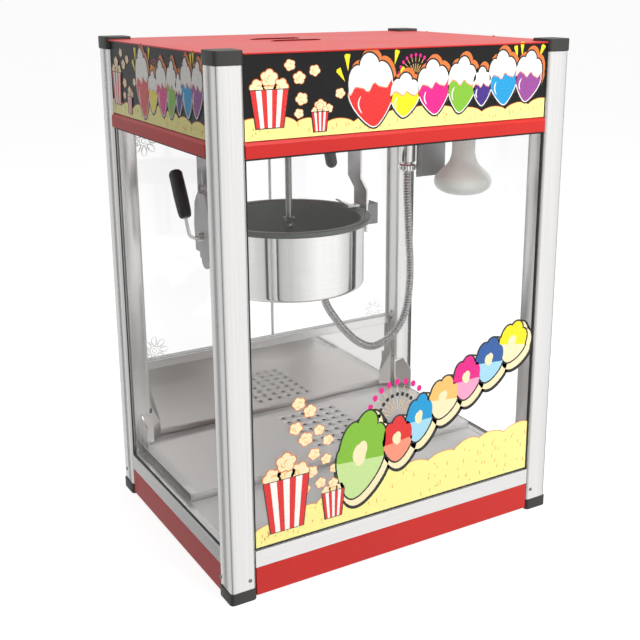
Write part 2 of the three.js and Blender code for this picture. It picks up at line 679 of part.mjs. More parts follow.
// ---- Drive --------------------------------------------------------------------------------
// Gear box on four legs with the motor's round can at its side.
function driveMotor() {
  const bottom = CEILING_TOP + MOTOR_RISE;
  const middle = bottom + MOTOR_HEIGHT / 2 - 0.5;
  const body = box(KETTLE_X - MOTOR_HALF_X, KETTLE_X + MOTOR_HALF_X, KETTLE_Y - MOTOR_HALF_Y,
    KETTLE_Y + MOTOR_HALF_Y, bottom, bottom + MOTOR_HEIGHT);
  const canStart = KETTLE_X + MOTOR_HALF_X - 10;
  const can = rod(CAN_RADIUS, [canStart, KETTLE_Y, middle],
    [KETTLE_X + MOTOR_HALF_X + CAN_LENGTH, KETTLE_Y, middle], 24);
  const legs = CORNERS.map(([, sx, sy]) => {
    const x = KETTLE_X + sx * (MOTOR_HALF_X - 6);
    const y = KETTLE_Y + sy * (MOTOR_HALF_Y - 6);
    return rod(4, [x, y, CEILING_TOP + GAP], [x, y, bottom + 3], 10);
  });
  const bore = rod(SHAFT_RADIUS + PIN_PLAY, [KETTLE_X, KETTLE_Y, CEILING_TOP],
    [KETTLE_X, KETTLE_Y, HEIGHT]);
  return cut(join(body, can, ...legs), bore);
}

// Drive shaft: lift flange above the carrier, and below it a collar with two driving dogs.
function driveShaft() {
  const dogTop = TILT_Z + SLEEVE_RADIUS + 0.6;
  const flangeTop = FLANGE_BOTTOM + FLANGE_THICKNESS;
  const shaft = turned([
    [0, dogTop], [COLLAR_RADIUS, dogTop], [COLLAR_RADIUS, dogTop + 5.5],
    [SHAFT_RADIUS, dogTop + 6.5], [SHAFT_RADIUS, FLANGE_BOTTOM], [FLANGE_RADIUS, FLANGE_BOTTOM],
    [FLANGE_RADIUS, flangeTop], [SHAFT_RADIUS, flangeTop], [SHAFT_RADIUS, SHAFT_TOP],
    [0, SHAFT_TOP],
  ], KETTLE_X, KETTLE_Y, 20);
  const dogs = [-1, 1].map((s) => box(
    KETTLE_X + s * (SLEEVE_RADIUS + 0.5), KETTLE_X + s * (COLLAR_RADIUS - 0.1),
    KETTLE_Y + s * DOG_NEAR, KETTLE_Y + s * DOG_FAR, dogTop - DOG_DROP, dogTop + OVERCUT));
  return join(shaft, ...dogs);
}

// Bush that carries the shaft's flange, with a lug each side for the lever's fork.
function liftCarrier() {
  const bore = SHAFT_RADIUS + PIN_PLAY;
  const top = CARRIER_BOTTOM + CARRIER_HEIGHT;
  const ring = turned([
    [bore, CARRIER_BOTTOM], [CARRIER_RADIUS, CARRIER_BOTTOM], [CARRIER_RADIUS, top], [bore, top],
    [bore, CARRIER_BOTTOM],
  ], KETTLE_X, KETTLE_Y, 20);
  const lugs = [-1, 1].map((s) => box(
    KETTLE_X + s * (CARRIER_RADIUS - 1.5), KETTLE_X + s * CARRIER_LUG, KETTLE_Y - 4, KETTLE_Y + 4,
    CARRIER_BOTTOM + 1, CARRIER_BOTTOM + 7));
  return join(ring, ...lugs);
}

// Lever that lifts the carrier: cross rod, two fork arms forward, one arm down to a grip.
function liftLever() {
  const end = [8, LEVER_Y - 16, LEVER_Z - 40];
  const tip = [14, LEVER_Y - 22, LEVER_Z - 73];
  const cross = rod(LEVER_ROD, [KETTLE_X - 21, LEVER_Y, LEVER_Z], [-8, LEVER_Y, LEVER_Z], 16);
  const armOutline = [
    [KETTLE_Y - 3, CARRIER_BOTTOM - 5.5], [LEVER_Y, LEVER_Z - 3], [LEVER_Y, LEVER_Z + 2],
    [KETTLE_Y - 3, CARRIER_BOTTOM - 1],
  ];
  const arms = [-1, 1].map((s) => {
    const x = KETTLE_X + s * FORK_HALF;
    return alongX(armOutline, x - FORK_WIDTH / 2, x + FORK_WIDTH / 2);
  });
  const down = rod(3, [-10, LEVER_Y, LEVER_Z], end, 12);
  const gripStart = [9.5, LEVER_Y - 17.5, LEVER_Z - 38.25];
  const grip = rod(LEVER_GRIP_RADIUS, gripStart, tip, 20);
  const round = new THREE.SphereGeometry(LEVER_GRIP_RADIUS, 20, 10).translate(...tip);
  return join(cross, ...arms, down, grip, round);
}

add("drive_motor", driveMotor(), castMetal);
add("drive_shaft", driveShaft(), steel);
add("lift_carrier", liftCarrier(), steel);
add("lift_lever", liftLever(), blackPlastic);

// ---- Kettle -------------------------------------------------------------------------------
function kettleShell() {
  const top = RIM_TOP - RIM_THICKNESS - GAP;
  const r = SHELL_RADIUS;
  const c = SHELL_CORNER;
  const inner = r - SHELL_WALL;
  return turned([
    [0, SHELL_BOTTOM], ...arc(r - c, SHELL_BOTTOM + c, c, -90, 0, 4), [r, top], [inner, top],
    ...arc(inner - c, SHELL_BOTTOM + SHELL_WALL + c, c, 0, -90, 4), [0, SHELL_BOTTOM + SHELL_WALL],
  ], KETTLE_X, KETTLE_Y, 44);
}

function kettleBowl() {
  const r = BOWL_RADIUS;
  const outer = r + BOWL_WALL;
  const c = SHELL_CORNER + 2;
  return turned([
    [0, BOWL_BOTTOM - BOWL_WALL], ...arc(outer - c, BOWL_BOTTOM - BOWL_WALL + c, c, -90, 0, 3),
    [outer, RIM_TOP - RIM_THICKNESS], [RIM_RADIUS, RIM_TOP - RIM_THICKNESS],
    [RIM_RADIUS, RIM_TOP - 2], [RIM_RADIUS - 2, RIM_TOP], [r + 2, RIM_TOP], [r, RIM_TOP - 3],
    ...arc(r - c, BOWL_BOTTOM + c, c, 0, -90, 3), [0, BOWL_BOTTOM],
  ], KETTLE_X, KETTLE_Y, 44);
}

// Cast heating disc clamped under the bowl.
function kettleHeater() {
  const top = BOWL_BOTTOM - BOWL_WALL - GAP;
  const bottom = top - HEATER_HEIGHT;
  return turned([
    [0, bottom], [HEATER_RADIUS - 4, bottom], [HEATER_RADIUS, bottom + 4], [HEATER_RADIUS, top],
    [0, top],
  ], KETTLE_X, KETTLE_Y, 32);
}

// A pivot pin that stands on a pad against the shell's side.
function pivotPin(sx, padHalf, reach) {
  const start = KETTLE_X + sx * (SHELL_RADIUS - 6);
  const padEnd = KETTLE_X + sx * (SHELL_RADIUS + 4);
  const pad = box(start, padEnd, KETTLE_Y - padHalf, KETTLE_Y + padHalf, TILT_Z - 20, TILT_Z + 7);
  const pin = rod(PIN_RADIUS, [start, KETTLE_Y, TILT_Z], [reach, KETTLE_Y, TILT_Z], 24);
  const clear = rod(SHELL_RADIUS + GAP, [KETTLE_X, KETTLE_Y, 0], [KETTLE_X, KETTLE_Y, HEIGHT], 88);
  return cut(join(pad, pin), clear);
}

// Bent lug riveted to the rim beside the right pivot.
function rimLug() {
  const top = RIM_TOP + GAP;
  const outline = [
    [-6, top + 12], [-5, top + 14], [10, top + 7], [20, top + 3], [29.5, top + 3], [29.5, top],
    [8, top], [8, top + 4],
  ];
  return alongY(outline, KETTLE_Y - 7, KETTLE_Y + 7);
}

// Bent rod that carries the grip; it is one piece with the left pivot pin.
function handleRod() {
  const x = HANGER_LEFT_X - GRIP_REACH;
  return bentBar([
    [HANGER_LEFT_X - 10, KETTLE_Y, TILT_Z], [HANGER_LEFT_X - 17, KETTLE_Y, TILT_Z],
    [x + 1.5, KETTLE_Y - 0.5, TILT_Z + 5], [x, KETTLE_Y + 3, TILT_Z + 16],
    [x, KETTLE_Y + 8, TILT_Z + 28],
  ], WIRE_RADIUS, 10, 20);
}

function handleGrip() {
  const x = HANGER_LEFT_X - GRIP_REACH;
  const direction = new THREE.Vector3(0, 0.47, 0.883);
  const start = new THREE.Vector3(x, KETTLE_Y + 8.3, TILT_Z + 28.5);
  const profile = [
    [0, 0], ...arc(GRIP_RADIUS - 3, 3, 3, -90, 0, 3), ...arc(GRIP_RADIUS - 5, GRIP_LENGTH - 5, 5, 0, 90, 3),
    [0, GRIP_LENGTH],
  ];
  const grip = turned(profile, 0, 0, 24);
  const up = new THREE.Vector3(0, 0, 1);
  grip.applyQuaternion(new THREE.Quaternion().setFromUnitVectors(up, direction.normalize()));
  return grip.translate(start.x, start.y, start.z);
}

function agitator() {
  const floor = BOWL_BOTTOM + 0.8;
  const dome = arc(0, TILT_Z, SLEEVE_RADIUS, 0, 90, 4).slice(1, -1);
  const spindle = turned([
    [0, floor], [HUB_RADIUS, floor], [HUB_RADIUS, floor + 12], [SPINDLE_RADIUS, floor + 15],
    [SPINDLE_RADIUS, TILT_Z - 15],
    [SLEEVE_RADIUS, TILT_Z - 14], [SLEEVE_RADIUS, TILT_Z], ...dome, [0, TILT_Z + SLEEVE_RADIUS],
  ], KETTLE_X, KETTLE_Y, 20);
  const pinReach = COLLAR_RADIUS - GAP;
  const pin = rod(CROSS_PIN_RADIUS, [KETTLE_X - pinReach, KETTLE_Y, TILT_Z],
    [KETTLE_X + pinReach, KETTLE_Y, TILT_Z], 10);
  const arms = [-1, 1].map((s) => {
    const place = (reach, side) => [KETTLE_X + s * reach, KETTLE_Y + s * side, floor + 5];
    return bentBar([place(0, 0), place(30, 14), place(62, 16), place(ARM_REACH, 0)], 4, 8, 10);
  });
  return join(spindle, pin, ...arms);
}

// Conduit gland under the kettle.
function kettleGland() {
  return rod(GLAND_RADIUS, [GLAND_X, GLAND_Y, SHELL_BOTTOM - GAP - GLAND_LENGTH],
    [GLAND_X, GLAND_Y, SHELL_BOTTOM - GAP], 6);
}

add("kettle_shell", kettleShell(), polished);
add("kettle_bowl", kettleBowl(), darkEnamel);
add("kettle_heater", kettleHeater(), castMetal);
add("pivot_pin_left", join(pivotPin(-1, PAD_LEFT, HANGER_LEFT_X - 12), handleRod()), steel);
add("pivot_pin_right", pivotPin(1, PAD_RIGHT, HANGER_RIGHT_X + 20), steel);
add("rim_lug", rimLug(), steel);
add("handle_grip", handleGrip(), blackPlastic);
add("agitator", agitator(), steel);
add("kettle_gland", kettleGland(), steel);

// ---- Hangers ------------------------------------------------------------------------------
// Straight left strap with a bearing plate and a rounded end below the pivot.
function hangerLeft() {
  const half = HANGER_WIDTH / 2;
  const x0 = HANGER_LEFT_X - HANGER_SHEET / 2;
  const x1 = HANGER_LEFT_X + HANGER_SHEET / 2;
  const top = TRAY_BOTTOM + CEILING - GAP;
  const low = TILT_Z - 34; // middle of the rounded end
  const strap = box(x0, x1, KETTLE_Y - half, KETTLE_Y + half, low, top);
  const flange = box(x0 - 14, x1, KETTLE_Y - half, KETTLE_Y + half, top - HANGER_SHEET, top);
  const end = rod(half - 5, [x0, KETTLE_Y, low], [x1, KETTLE_Y, low], 28);
  const plate = [
    [-14, 61], [14, 61], [25, 46], [29, 13], [26, -24], [-26, -24], [-29, 13], [-25, 46],
  ].map(([y, z]) => [KETTLE_Y + y, TILT_Z + z]);
  const bearing = alongX(plate, x0 - 2.5, x0 + 0.5);
  const screw = rod(5, [x0 - 5, KETTLE_Y, TILT_Z + 69], [x1, KETTLE_Y, TILT_Z + 69], 16);
  const bore = rod(BORE_RADIUS, [x0 - 9, KETTLE_Y, TILT_Z], [x1 + 9, KETTLE_Y, TILT_Z], 24);
  return cut(join(strap, flange, end, bearing, screw), bore);
}

// Right strap, cranked outwards above the rim so that the kettle can swing past it.
function hangerRight() {
  const half = HANGER_WIDTH / 2;
  const t = HANGER_SHEET / 2;
  const low = HANGER_RIGHT_X;
  const high = HANGER_RIGHT_X - HANGER_CRANK;
  const top = TRAY_BOTTOM + CEILING - GAP;
  const outline = [
    [low - t, TILT_Z - 22], [low + t, TILT_Z - 22], [low + t, TILT_Z + 43],
    [high + t, TILT_Z + 63], [high + t, top - 2 * t], [high + 16, top - 2 * t], [high + 16, top],
    [high - t, top], [high - t, TILT_Z + 62], [low - t, TILT_Z + 42],
  ];
  const strap = alongY(outline, KETTLE_Y - half, KETTLE_Y + half);
  const bore = rod(BORE_RADIUS, [low - 9, KETTLE_Y, TILT_Z], [low + 9, KETTLE_Y, TILT_Z], 24);
  return cut(strap, bore);
}

// Channel block outside the right strap that the pin rests in.
function pivotBlock() {
  const x0 = HANGER_RIGHT_X + HANGER_SHEET / 2 + GAP;
  const x1 = x0 + BLOCK_SIDE;
  const half = BLOCK_SIDE / 2;
  const wall = 3;
  const block = box(x0, x1, KETTLE_Y - half, KETTLE_Y + half, TILT_Z - 12, TILT_Z + 20);
  const groove = box(x0 + wall, x1 - wall, KETTLE_Y - half + wall, KETTLE_Y + 30, TILT_Z + 9,
    TILT_Z + 30);
  const bore = rod(BORE_RADIUS, [x0 - 5, KETTLE_Y, TILT_Z], [x1 + 5, KETTLE_Y, TILT_Z], 24);
  return cut(block, groove, bore);
}

add("hanger_left", hangerLeft(), steel);
add("hanger_right", hangerRight(), steel);
add("pivot_block", pivotBlock(), castMetal);

// ---- Conduit ------------------------------------------------------------------------------
function conduitSocket() {
  const top = TRAY_BOTTOM + CEILING - GAP;
  return turned([
    [0, NUT_BOTTOM], [13, NUT_BOTTOM], [14.6, NUT_BOTTOM + 3], [14.6, NUT_BOTTOM + 9],
    [13, NUT_BOTTOM + 12], [10, NUT_BOTTOM + 12], [10, NUT_BOTTOM + 14], [14, NUT_BOTTOM + 15],
    [14, top], [0, top],
  ], SOCKET_X, SOCKET_Y, 28);
}

function conduit() {
  const top = NUT_BOTTOM - GAP;
  const end = SHELL_BOTTOM - GLAND_LENGTH - 2 * GAP;
  return bentBar([
    [SOCKET_X, SOCKET_Y, top], [SOCKET_X, SOCKET_Y, 500], [152, 10, 465], [155, 10, 420],
    [158, 9, 370], [156, 8, 325], [147, 7, 287], [127, 5, 260], [104, 3, 248], [78, 1, 245],
    [52, 0, 258], [29, 0, 280], [10, 0, 304], [-5, 1, 328], [-11, 2, 350], [GLAND_X, GLAND_Y, end],
  ], CONDUIT_RADIUS, 8, 34);
}

add("conduit_socket", conduitSocket(), polished);
add("conduit", conduit(), steel);

// ---- Lamp ---------------------------------------------------------------------------------
function lampBulb() {
  const b = LAMP_BOTTOM;
  const r = LAMP_RADIUS;
  const neck = 18.3;
  return turned([
    [0, b], [20, b + 1], [34, b + 5], [r - 3, b + 12], [r, b + 21], [r - 2, b + 29],
    [r - 10, b + 38], [27, b + 46], [21.5, b + 54], [neck, b + 64], [neck, b + 140],
    [13, b + 146], [13, b + 170], [0, b + 170],
  ], LAMP_X, LAMP_Y, 32);
}

// Ceramic cup held to the ceiling plate by two stays.
function lampHolder() {
  const z = LAMP_BOTTOM + 147;
  const stayTop = z + 24;
  const cup = turned([
    [14, z], [22, z], [24, z + 8], [24, z + 38], [0, z + 38], [0, z + 30], [14, z + 30], [14, z],
  ], LAMP_X, LAMP_Y, 24);
  const stays = [-1, 1].map((s) => {
    const end = LAMP_Y + s * 34;
    return join(box(LAMP_X - 6, LAMP_X + 6, LAMP_Y + s * 21, end, z + 20, stayTop),
      box(LAMP_X - 6, LAMP_X + 6, end - s * 4, end, CEILING_TOP + GAP, stayTop));
  });
  return join(cup, ...stays);
}

// Bent heat shield beside the lamp.
function lampShield() {
  const x = LAMP_X - LAMP_RADIUS - 10;
  const y = LAMP_Y + LAMP_RADIUS + 2;
  const top = TRAY_BOTTOM + CEILING - GAP;
  const plate = box(x, LAMP_X, y, y + SHEET, top - 92.7, top);
  const flange = box(x, x + SHEET, y - 13, y + 0.5, top - 88.7, top);
  const foot = box(x, LAMP_X, y - 12, y + 0.5, top - SHEET, top);
  const clear = rod(26, [LAMP_X, LAMP_Y, LAMP_BOTTOM], [LAMP_X, LAMP_Y, HEIGHT], 32);
  return cut(join(plate, flange, foot), clear);
}

add("lamp_bulb", lampBulb(), lampGlass);
add("lamp_holder", lampHolder(), ceramic);
add("lamp_shield", lampShield(), castMetal);

export default group;
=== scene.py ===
# %% [markdown]
# # A counter-top popcorn machine
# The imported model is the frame: it holds every piece at its true place and size. This file gives it
# its looks. Turned and bent pieces are made again as fine surfaces, folded sheet and mouldings get
# their rounded edges, and every piece gets a finish made of nodes. Lengths are metres.

# %% Load the frame
import bmesh
import bpy
import json
import math
import numpy as np
from mathutils import Matrix, Vector


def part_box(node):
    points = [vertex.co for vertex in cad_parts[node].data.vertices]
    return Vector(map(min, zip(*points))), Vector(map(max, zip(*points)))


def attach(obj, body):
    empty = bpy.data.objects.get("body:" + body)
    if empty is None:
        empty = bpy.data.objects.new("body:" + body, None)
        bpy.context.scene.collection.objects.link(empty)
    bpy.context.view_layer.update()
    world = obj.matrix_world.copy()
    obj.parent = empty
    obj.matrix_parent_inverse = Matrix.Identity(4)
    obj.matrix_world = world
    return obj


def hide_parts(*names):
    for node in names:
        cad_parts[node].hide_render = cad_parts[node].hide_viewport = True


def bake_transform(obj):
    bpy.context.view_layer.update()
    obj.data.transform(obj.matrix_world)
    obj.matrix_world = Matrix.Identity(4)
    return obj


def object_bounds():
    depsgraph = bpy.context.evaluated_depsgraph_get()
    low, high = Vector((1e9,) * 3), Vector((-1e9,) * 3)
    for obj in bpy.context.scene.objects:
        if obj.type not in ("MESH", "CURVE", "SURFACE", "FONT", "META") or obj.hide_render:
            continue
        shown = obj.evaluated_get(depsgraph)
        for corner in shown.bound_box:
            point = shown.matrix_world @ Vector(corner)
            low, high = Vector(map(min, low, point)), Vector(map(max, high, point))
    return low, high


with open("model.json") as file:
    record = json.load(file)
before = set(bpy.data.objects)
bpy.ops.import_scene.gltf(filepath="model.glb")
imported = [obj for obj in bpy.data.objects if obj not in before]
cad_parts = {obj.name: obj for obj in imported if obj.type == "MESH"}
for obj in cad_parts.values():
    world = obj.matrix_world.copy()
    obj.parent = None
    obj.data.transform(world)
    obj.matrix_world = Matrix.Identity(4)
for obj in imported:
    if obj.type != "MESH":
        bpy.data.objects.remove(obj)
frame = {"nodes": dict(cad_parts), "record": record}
cad_low, cad_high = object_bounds()
MM = 0.001

# %% [markdown]
# ## The view
# A product picture of such a machine is taken from a little above the counter and from the front
# left corner, so that the glass, the kettle and the side all show. The camera stands on a direction
# given by two angles, and is moved sideways and up until the machine fills the frame. Walking the
# camera by angles is easier to correct than three bare coordinates.

# %% Camera
AZIMUTH = math.radians(-31.28)
ELEVATION = math.radians(15.47)
DISTANCE = 1.7209
SIDEWAYS = 0.0234
UPWARDS = 0.3712
SENSOR, LENS = 36.0, 58.43
SHIFT_X, SHIFT_Y = -0.039, -0.078
back = Vector((math.sin(AZIMUTH) * math.cos(ELEVATION), -math.cos(AZIMUTH) * math.cos(ELEVATION),
               math.sin(ELEVATION)))
right = Vector((math.cos(AZIMUTH), math.sin(AZIMUTH), 0))
camera_data = bpy.data.cameras.new("camera")
camera_data.sensor_width = SENSOR
camera_data.lens = LENS
camera_data.shift_x, camera_data.shift_y = SHIFT_X, SHIFT_Y
camera = bpy.data.objects.new("camera", camera_data)
camera.location = back * DISTANCE + right * SIDEWAYS + back.cross(right) * UPWARDS
camera.rotation_mode = "QUATERNION"
camera.rotation_quaternion = (-back).to_track_quat("-Z", "Y")
bpy.context.scene.collection.objects.link(camera)
bpy.context.scene.camera = camera
bpy.context.scene.view_settings.view_transform = "Standard"
print("camera at", [round(c, 3) for c in camera.location])

# %% [markdown]
# ## Surfaces from formulas
# Every new piece starts as points on a grid: one parameter runs along the piece, the other round it.
# The points are worked out with numpy as whole arrays, and only then handed to Blender. A mesh made
# this way has tidy rows of faces, and its shape can be changed by changing a number.

# %% From a grid of points to a mesh
def make_mesh(name, points, faces, sharp=35):
    """Points and faces become a mesh object: doubled points are merged, which closes seams and
    poles, faces are turned outwards, and edges flatter than sharp degrees are shaded smooth."""
    mesh = bpy.data.meshes.new(name)
    mesh.from_pydata(np.asarray(points).reshape(-1, 3).tolist(), [], faces)
    work = bmesh.new()
    work.from_mesh(mesh)
    bmesh.ops.remove_doubles(work, verts=work.verts, dist=1e-6)
    bmesh.ops.recalc_face_normals(work, faces=work.faces)
    work.to_mesh(mesh)
    work.free()
    mesh.polygons.foreach_set("use_smooth", np.ones(len(mesh.polygons), bool))
    mesh.set_sharp_from_angle(angle=math.radians(sharp))
    piece = bpy.data.objects.new(name, mesh)
    bpy.context.scene.collection.objects.link(piece)
    return piece


def grid_faces(rows, columns, closed_rows=False, closed_columns=False, first=0):
    """Four-cornered faces between neighbouring rows and columns of points, as lists of indices."""
    i = np.arange(rows if closed_rows else rows - 1)[:, None]
    j = np.arange(columns if closed_columns else columns - 1)[None, :]
    near, far = i * columns, ((i + 1) % rows) * columns
    after = (j + 1) % columns
    quads = np.stack([near + j, near + after, far + after, far + j], axis=-1)
    return (quads.reshape(-1, 4) + first).tolist()


# %% Turned pieces
def turned(name, profile, centre, sides=96, ripple=None, sharp=35):
    """A profile of (radius, height) spun about a vertical axis: x and y are the radius times the
    cosine and sine of the turn. ripple may scale the radius by the turn and the height."""
    radius, height = np.asarray(profile, float).T
    turn = np.linspace(0, 2 * np.pi, sides, endpoint=False)
    reach = np.repeat(radius[:, None], sides, axis=1)
    if ripple is not None:
        reach = reach * ripple(turn[None, :], height[:, None])
    rise = np.repeat(height[:, None], sides, axis=1)
    points = np.stack([centre[0] + reach * np.cos(turn), centre[1] + reach * np.sin(turn), rise], -1)
    closed = radius[0] > 0
    return make_mesh(name, points, grid_faces(len(radius), sides, closed, True), sharp)


def rounded(profile, radius, steps=5):
    """The same profile with each inner corner replaced by a curve that leaves it radius away."""
    points = [np.asarray(p, float) for p in profile]
    out = [points[0]]
    for before, corner, after in zip(points, points[1:], points[2:]):
        r = min(radius, np.linalg.norm(corner - before) / 2.2, np.linalg.norm(after - corner) / 2.2)
        start = corner + (before - corner) / np.linalg.norm(before - corner) * r
        end = corner + (after - corner) / np.linalg.norm(after - corner) * r
        for t in np.linspace(0, 1, steps):
            out.append((1 - t) ** 2 * start + 2 * t * (1 - t) * corner + t * t * end)
    return np.array(out + [points[-1]])


# %% Bent pieces
STEPS_PER_STRETCH = 24


def smooth_path(points, count):
    """A Catmull-Rom curve: each stretch between two points is a cubic whose ends are parallel to
    the lines between their neighbours. The result has count points, evenly spaced along it."""
    p = np.asarray(points, float)
    p = np.vstack([2 * p[0] - p[1], p, 2 * p[-1] - p[-2]])
    t = np.linspace(0, 1, STEPS_PER_STRETCH, endpoint=False)[None, :, None]
    a, b, c, d = p[:-3, None], p[1:-2, None], p[2:-1, None], p[3:, None]
    line = 0.5 * (2 * b + (c - a) * t + (2 * a - 5 * b + 4 * c - d) * t**2
                  + (3 * b - a - 3 * c + d) * t**3)
    line = np.vstack([line.reshape(-1, 3), p[-2]])
    along = np.concatenate([[0], np.cumsum(np.linalg.norm(np.diff(line, axis=0), axis=1))])
    even = np.linspace(0, along[-1], count)
    return np.stack([np.interp(even, along, line[:, k]) for k in range(3)], axis=1)


def swept(name, line, radius, reference, sides=20, sharp=50):
    """A round section carried along a line. At each point the section lies in the plane square to
    the line, turned to a fixed reference direction, and its radius may change along the way."""
    line = np.asarray(line, float)
    along = np.gradient(line, axis=0)
    along /= np.linalg.norm(along, axis=1)[:, None]
    side = np.cross(along, reference)
    side /= np.linalg.norm(side, axis=1)[:, None]
    other = np.cross(along, side)
    turn = np.linspace(0, 2 * np.pi, sides, endpoint=False)[None, :, None]
    reach = np.broadcast_to(radius, len(line))[:, None, None]
    points = line[:, None] + reach * (side[:, None] * np.cos(turn) + other[:, None] * np.sin(turn))
    faces = grid_faces(len(line), sides, False, True)
    ends = [list(range(sides)), list(range((len(line) - 1) * sides, len(line) * sides))]
    return make_mesh(name, points, faces + ends, sharp)


# %% [markdown]
# ## The conduit
# The kettle's wires run in a flexible steel conduit: a strip wound into a ribbed hose, 13 mm thick.
# It hangs from a socket in the ceiling, sags in a loop below the kettle and comes up into a gland
# on the kettle's underside. It could be a curve with a bevel, but then the ribs would only be
# painted on, so a round section is carried along the route and its radius swells at each rib.

# %% Conduit
CONDUIT_ROUTE = np.array([
    (150, 10, 526.7), (150, 10, 500), (152, 10, 465), (155, 10, 420), (158, 9, 370), (156, 8, 325),
    (147, 7, 287), (127, 5, 260), (104, 3, 248), (78, 1, 245), (52, 0, 258), (29, 0, 280),
    (10, 0, 304), (-5, 1, 328), (-11, 2, 350), (-12, 2, 370.4),
]) * MM
CONDUIT_DIAMETER = 0.013
RIB_PITCH = 0.0046
RIB_DEPTH = 0.0018
STEPS_PER_RIB = 7
ROUGH_POINTS = 400  # enough to measure the route before it is divided into ribs
rough_length = np.linalg.norm(np.diff(smooth_path(CONDUIT_ROUTE, ROUGH_POINTS), axis=0), axis=1).sum()
ribs = round(rough_length / RIB_PITCH)
conduit_line = smooth_path(CONDUIT_ROUTE, ribs * STEPS_PER_RIB + 1)
swell = np.abs(np.sin(np.linspace(0, ribs * np.pi, len(conduit_line)))) ** 0.7
conduit = swept("conduit_hose", conduit_line, CONDUIT_DIAMETER / 2 - RIB_DEPTH * (1 - swell),
                (0, 1, 0), sides=24, sharp=80)
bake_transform(conduit)
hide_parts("conduit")

# %% [markdown]
# ## Finishes
# Real surfaces are never one colour: rolled and brushed metal has fine lines along one direction,
# moulded plastic has a grain, powder coat has a faint orange peel. One recipe serves them all: a
# noise, stretched along the direction of the work, mixes two close shades, moves the roughness
# between two values and presses a small relief. It reads Object coordinates, so that it stays put
# when the piece moves.

# %% Adding nodes
def add_node(tree, kind, inputs=None, **settings):
    """Adds a node to a tree. Each input, by name or number, is linked if it is given a socket, and
    set if it is given a value. The settings are the node's own switches."""
    node = tree.nodes.new("ShaderNode" + kind)
    for name, value in settings.items():
        setattr(node, name, value)
    for name, value in (inputs or {}).items():
        if isinstance(value, bpy.types.NodeSocket):
            tree.links.new(value, node.inputs[name])
        else:
            node.inputs[name].default_value = value
    return node


# %% The recipe for a worked surface
NOISE_LOW, NOISE_HIGH = 0.3, 0.7  # the noise is hardly ever outside these
RELIEF_STRENGTH = 0.6


def worked(name, dark, light, rough, stretch, relief=0.0, coarse=0.0, **constants):
    """A Principled material. Noise at the stretched scale mixes dark and light, runs the roughness
    over the pair rough and presses relief metres deep. coarse adds a slow second mottling."""
    material = bpy.data.materials.new(name)
    material.use_nodes = True
    tree = material.node_tree
    shader = tree.nodes["Principled BSDF"]
    for socket, value in constants.items():
        shader.inputs[socket.replace("_", " ")].default_value = value
    place = add_node(tree, "TexCoord").outputs["Object"]
    mapping = add_node(tree, "Mapping", {"Vector": place, "Scale": stretch})
    grain = add_node(tree, "TexNoise", {"Vector": mapping.outputs["Vector"], "Scale": 1.0,
                                        "Detail": 3.0})
    amount = grain.outputs["Fac"]
    if coarse:
        mottle = add_node(tree, "TexNoise", {"Vector": place, "Scale": coarse})
        half = add_node(tree, "Math", {0: amount, 1: 0.5}, operation="MULTIPLY")
        both = add_node(tree, "Math", {0: mottle.outputs["Fac"], 1: 0.5, 2: half.outputs[0]},
                        operation="MULTIPLY_ADD")
        amount = both.outputs[0]
    shades = add_node(tree, "ValToRGB", {"Fac": amount})
    ramp = zip(shades.color_ramp.elements, (NOISE_LOW, NOISE_HIGH), (dark, light))
    for stop, position, shade in ramp:
        stop.position, stop.color = position, (*shade, 1)
    tree.links.new(shades.outputs["Color"], shader.inputs["Base Color"])
    spread = add_node(tree, "MapRange", {"Value": amount, "From Min": NOISE_LOW, "From Max": NOISE_HIGH,
                                         "To Min": rough[0], "To Max": rough[1]})
    tree.links.new(spread.outputs["Result"], shader.inputs["Roughness"])
    if relief:
        bump = add_node(tree, "Bump", {"Distance": relief, "Strength": RELIEF_STRENGTH,
                                       "Height": grain.outputs["Fac"]})
        tree.links.new(bump.outputs["Normal"], shader.inputs["Normal"])
    return material


# %% Metals
def grey(value, tint=0.0):
    """A neutral shade, warmed by tint."""
    return (value * (1 + tint), value, value * (1 - tint))


FINE, LONG = 900, 6
anodised_z, anodised_x, anodised_y = [
    worked("anodised_" + way, grey(0.72, 0.012), grey(0.78, 0.012), (0.2, 0.25), stretch, 0.00004,
           Metallic=0.75)
    for way, stretch in (("upright", (FINE, FINE, LONG)), ("across", (LONG, FINE, FINE)),
                         ("deep", (FINE, LONG, FINE)))]
brushed = worked("brushed_steel", grey(0.74, 0.015), grey(0.79, 0.015), (0.34, 0.4),
                 (10, 500, 500), 0.0, 2.0, Metallic=0.35)
bright_sheet = worked("bright_sheet", grey(0.68, 0.02), grey(0.73, 0.02), (0.05, 0.08),
                      (8, 400, 400), 0.0, 4.0, Metallic=1.0)
# The crumb drawer's steel is made near black: painted shade, so that the deck's holes above it look
# dark.
drawer_painted_shade = worked("drawer_steel_painted_shade", grey(0.05), grey(0.09), (0.4, 0.55), (90, 90, 90), 0.00003,
                    30.0, Metallic=0.6)
strap_steel = worked("strap_steel", grey(0.76), grey(0.82), (0.2, 0.28), (500, 500, 12), 0.0, 9.0,
                     Metallic=0.6)
shaft_steel = worked("turned_steel", grey(0.2, 0.06), grey(0.3, 0.06), (0.16, 0.26),
                     (40, 40, 900), 0.00002, Metallic=1.0)
polished = worked("polished_steel", grey(0.80, 0.01), grey(0.86, 0.01), (0.045, 0.09),
                  (20, 20, 500), 0.0, 12.0, Metallic=1.0)
hose_steel = worked("hose_steel", grey(0.5), grey(0.64), (0.18, 0.3), (260, 260, 260), 0.00003,
                    Metallic=1.0)
conduit.data.materials.append(hose_steel)
cast_metal = worked("cast_alloy", grey(0.2), grey(0.3), (0.42, 0.6), (420, 420, 420), 0.0001,
                    30.0, Metallic=0.9)
sheet_grey = worked("grey_sheet", grey(0.3, -0.02), grey(0.38, -0.02), (0.35, 0.5), (300, 300, 9),
                    0.00003, 14.0, Metallic=0.7)
METALS = len(bpy.data.materials)
print("metals:", METALS)

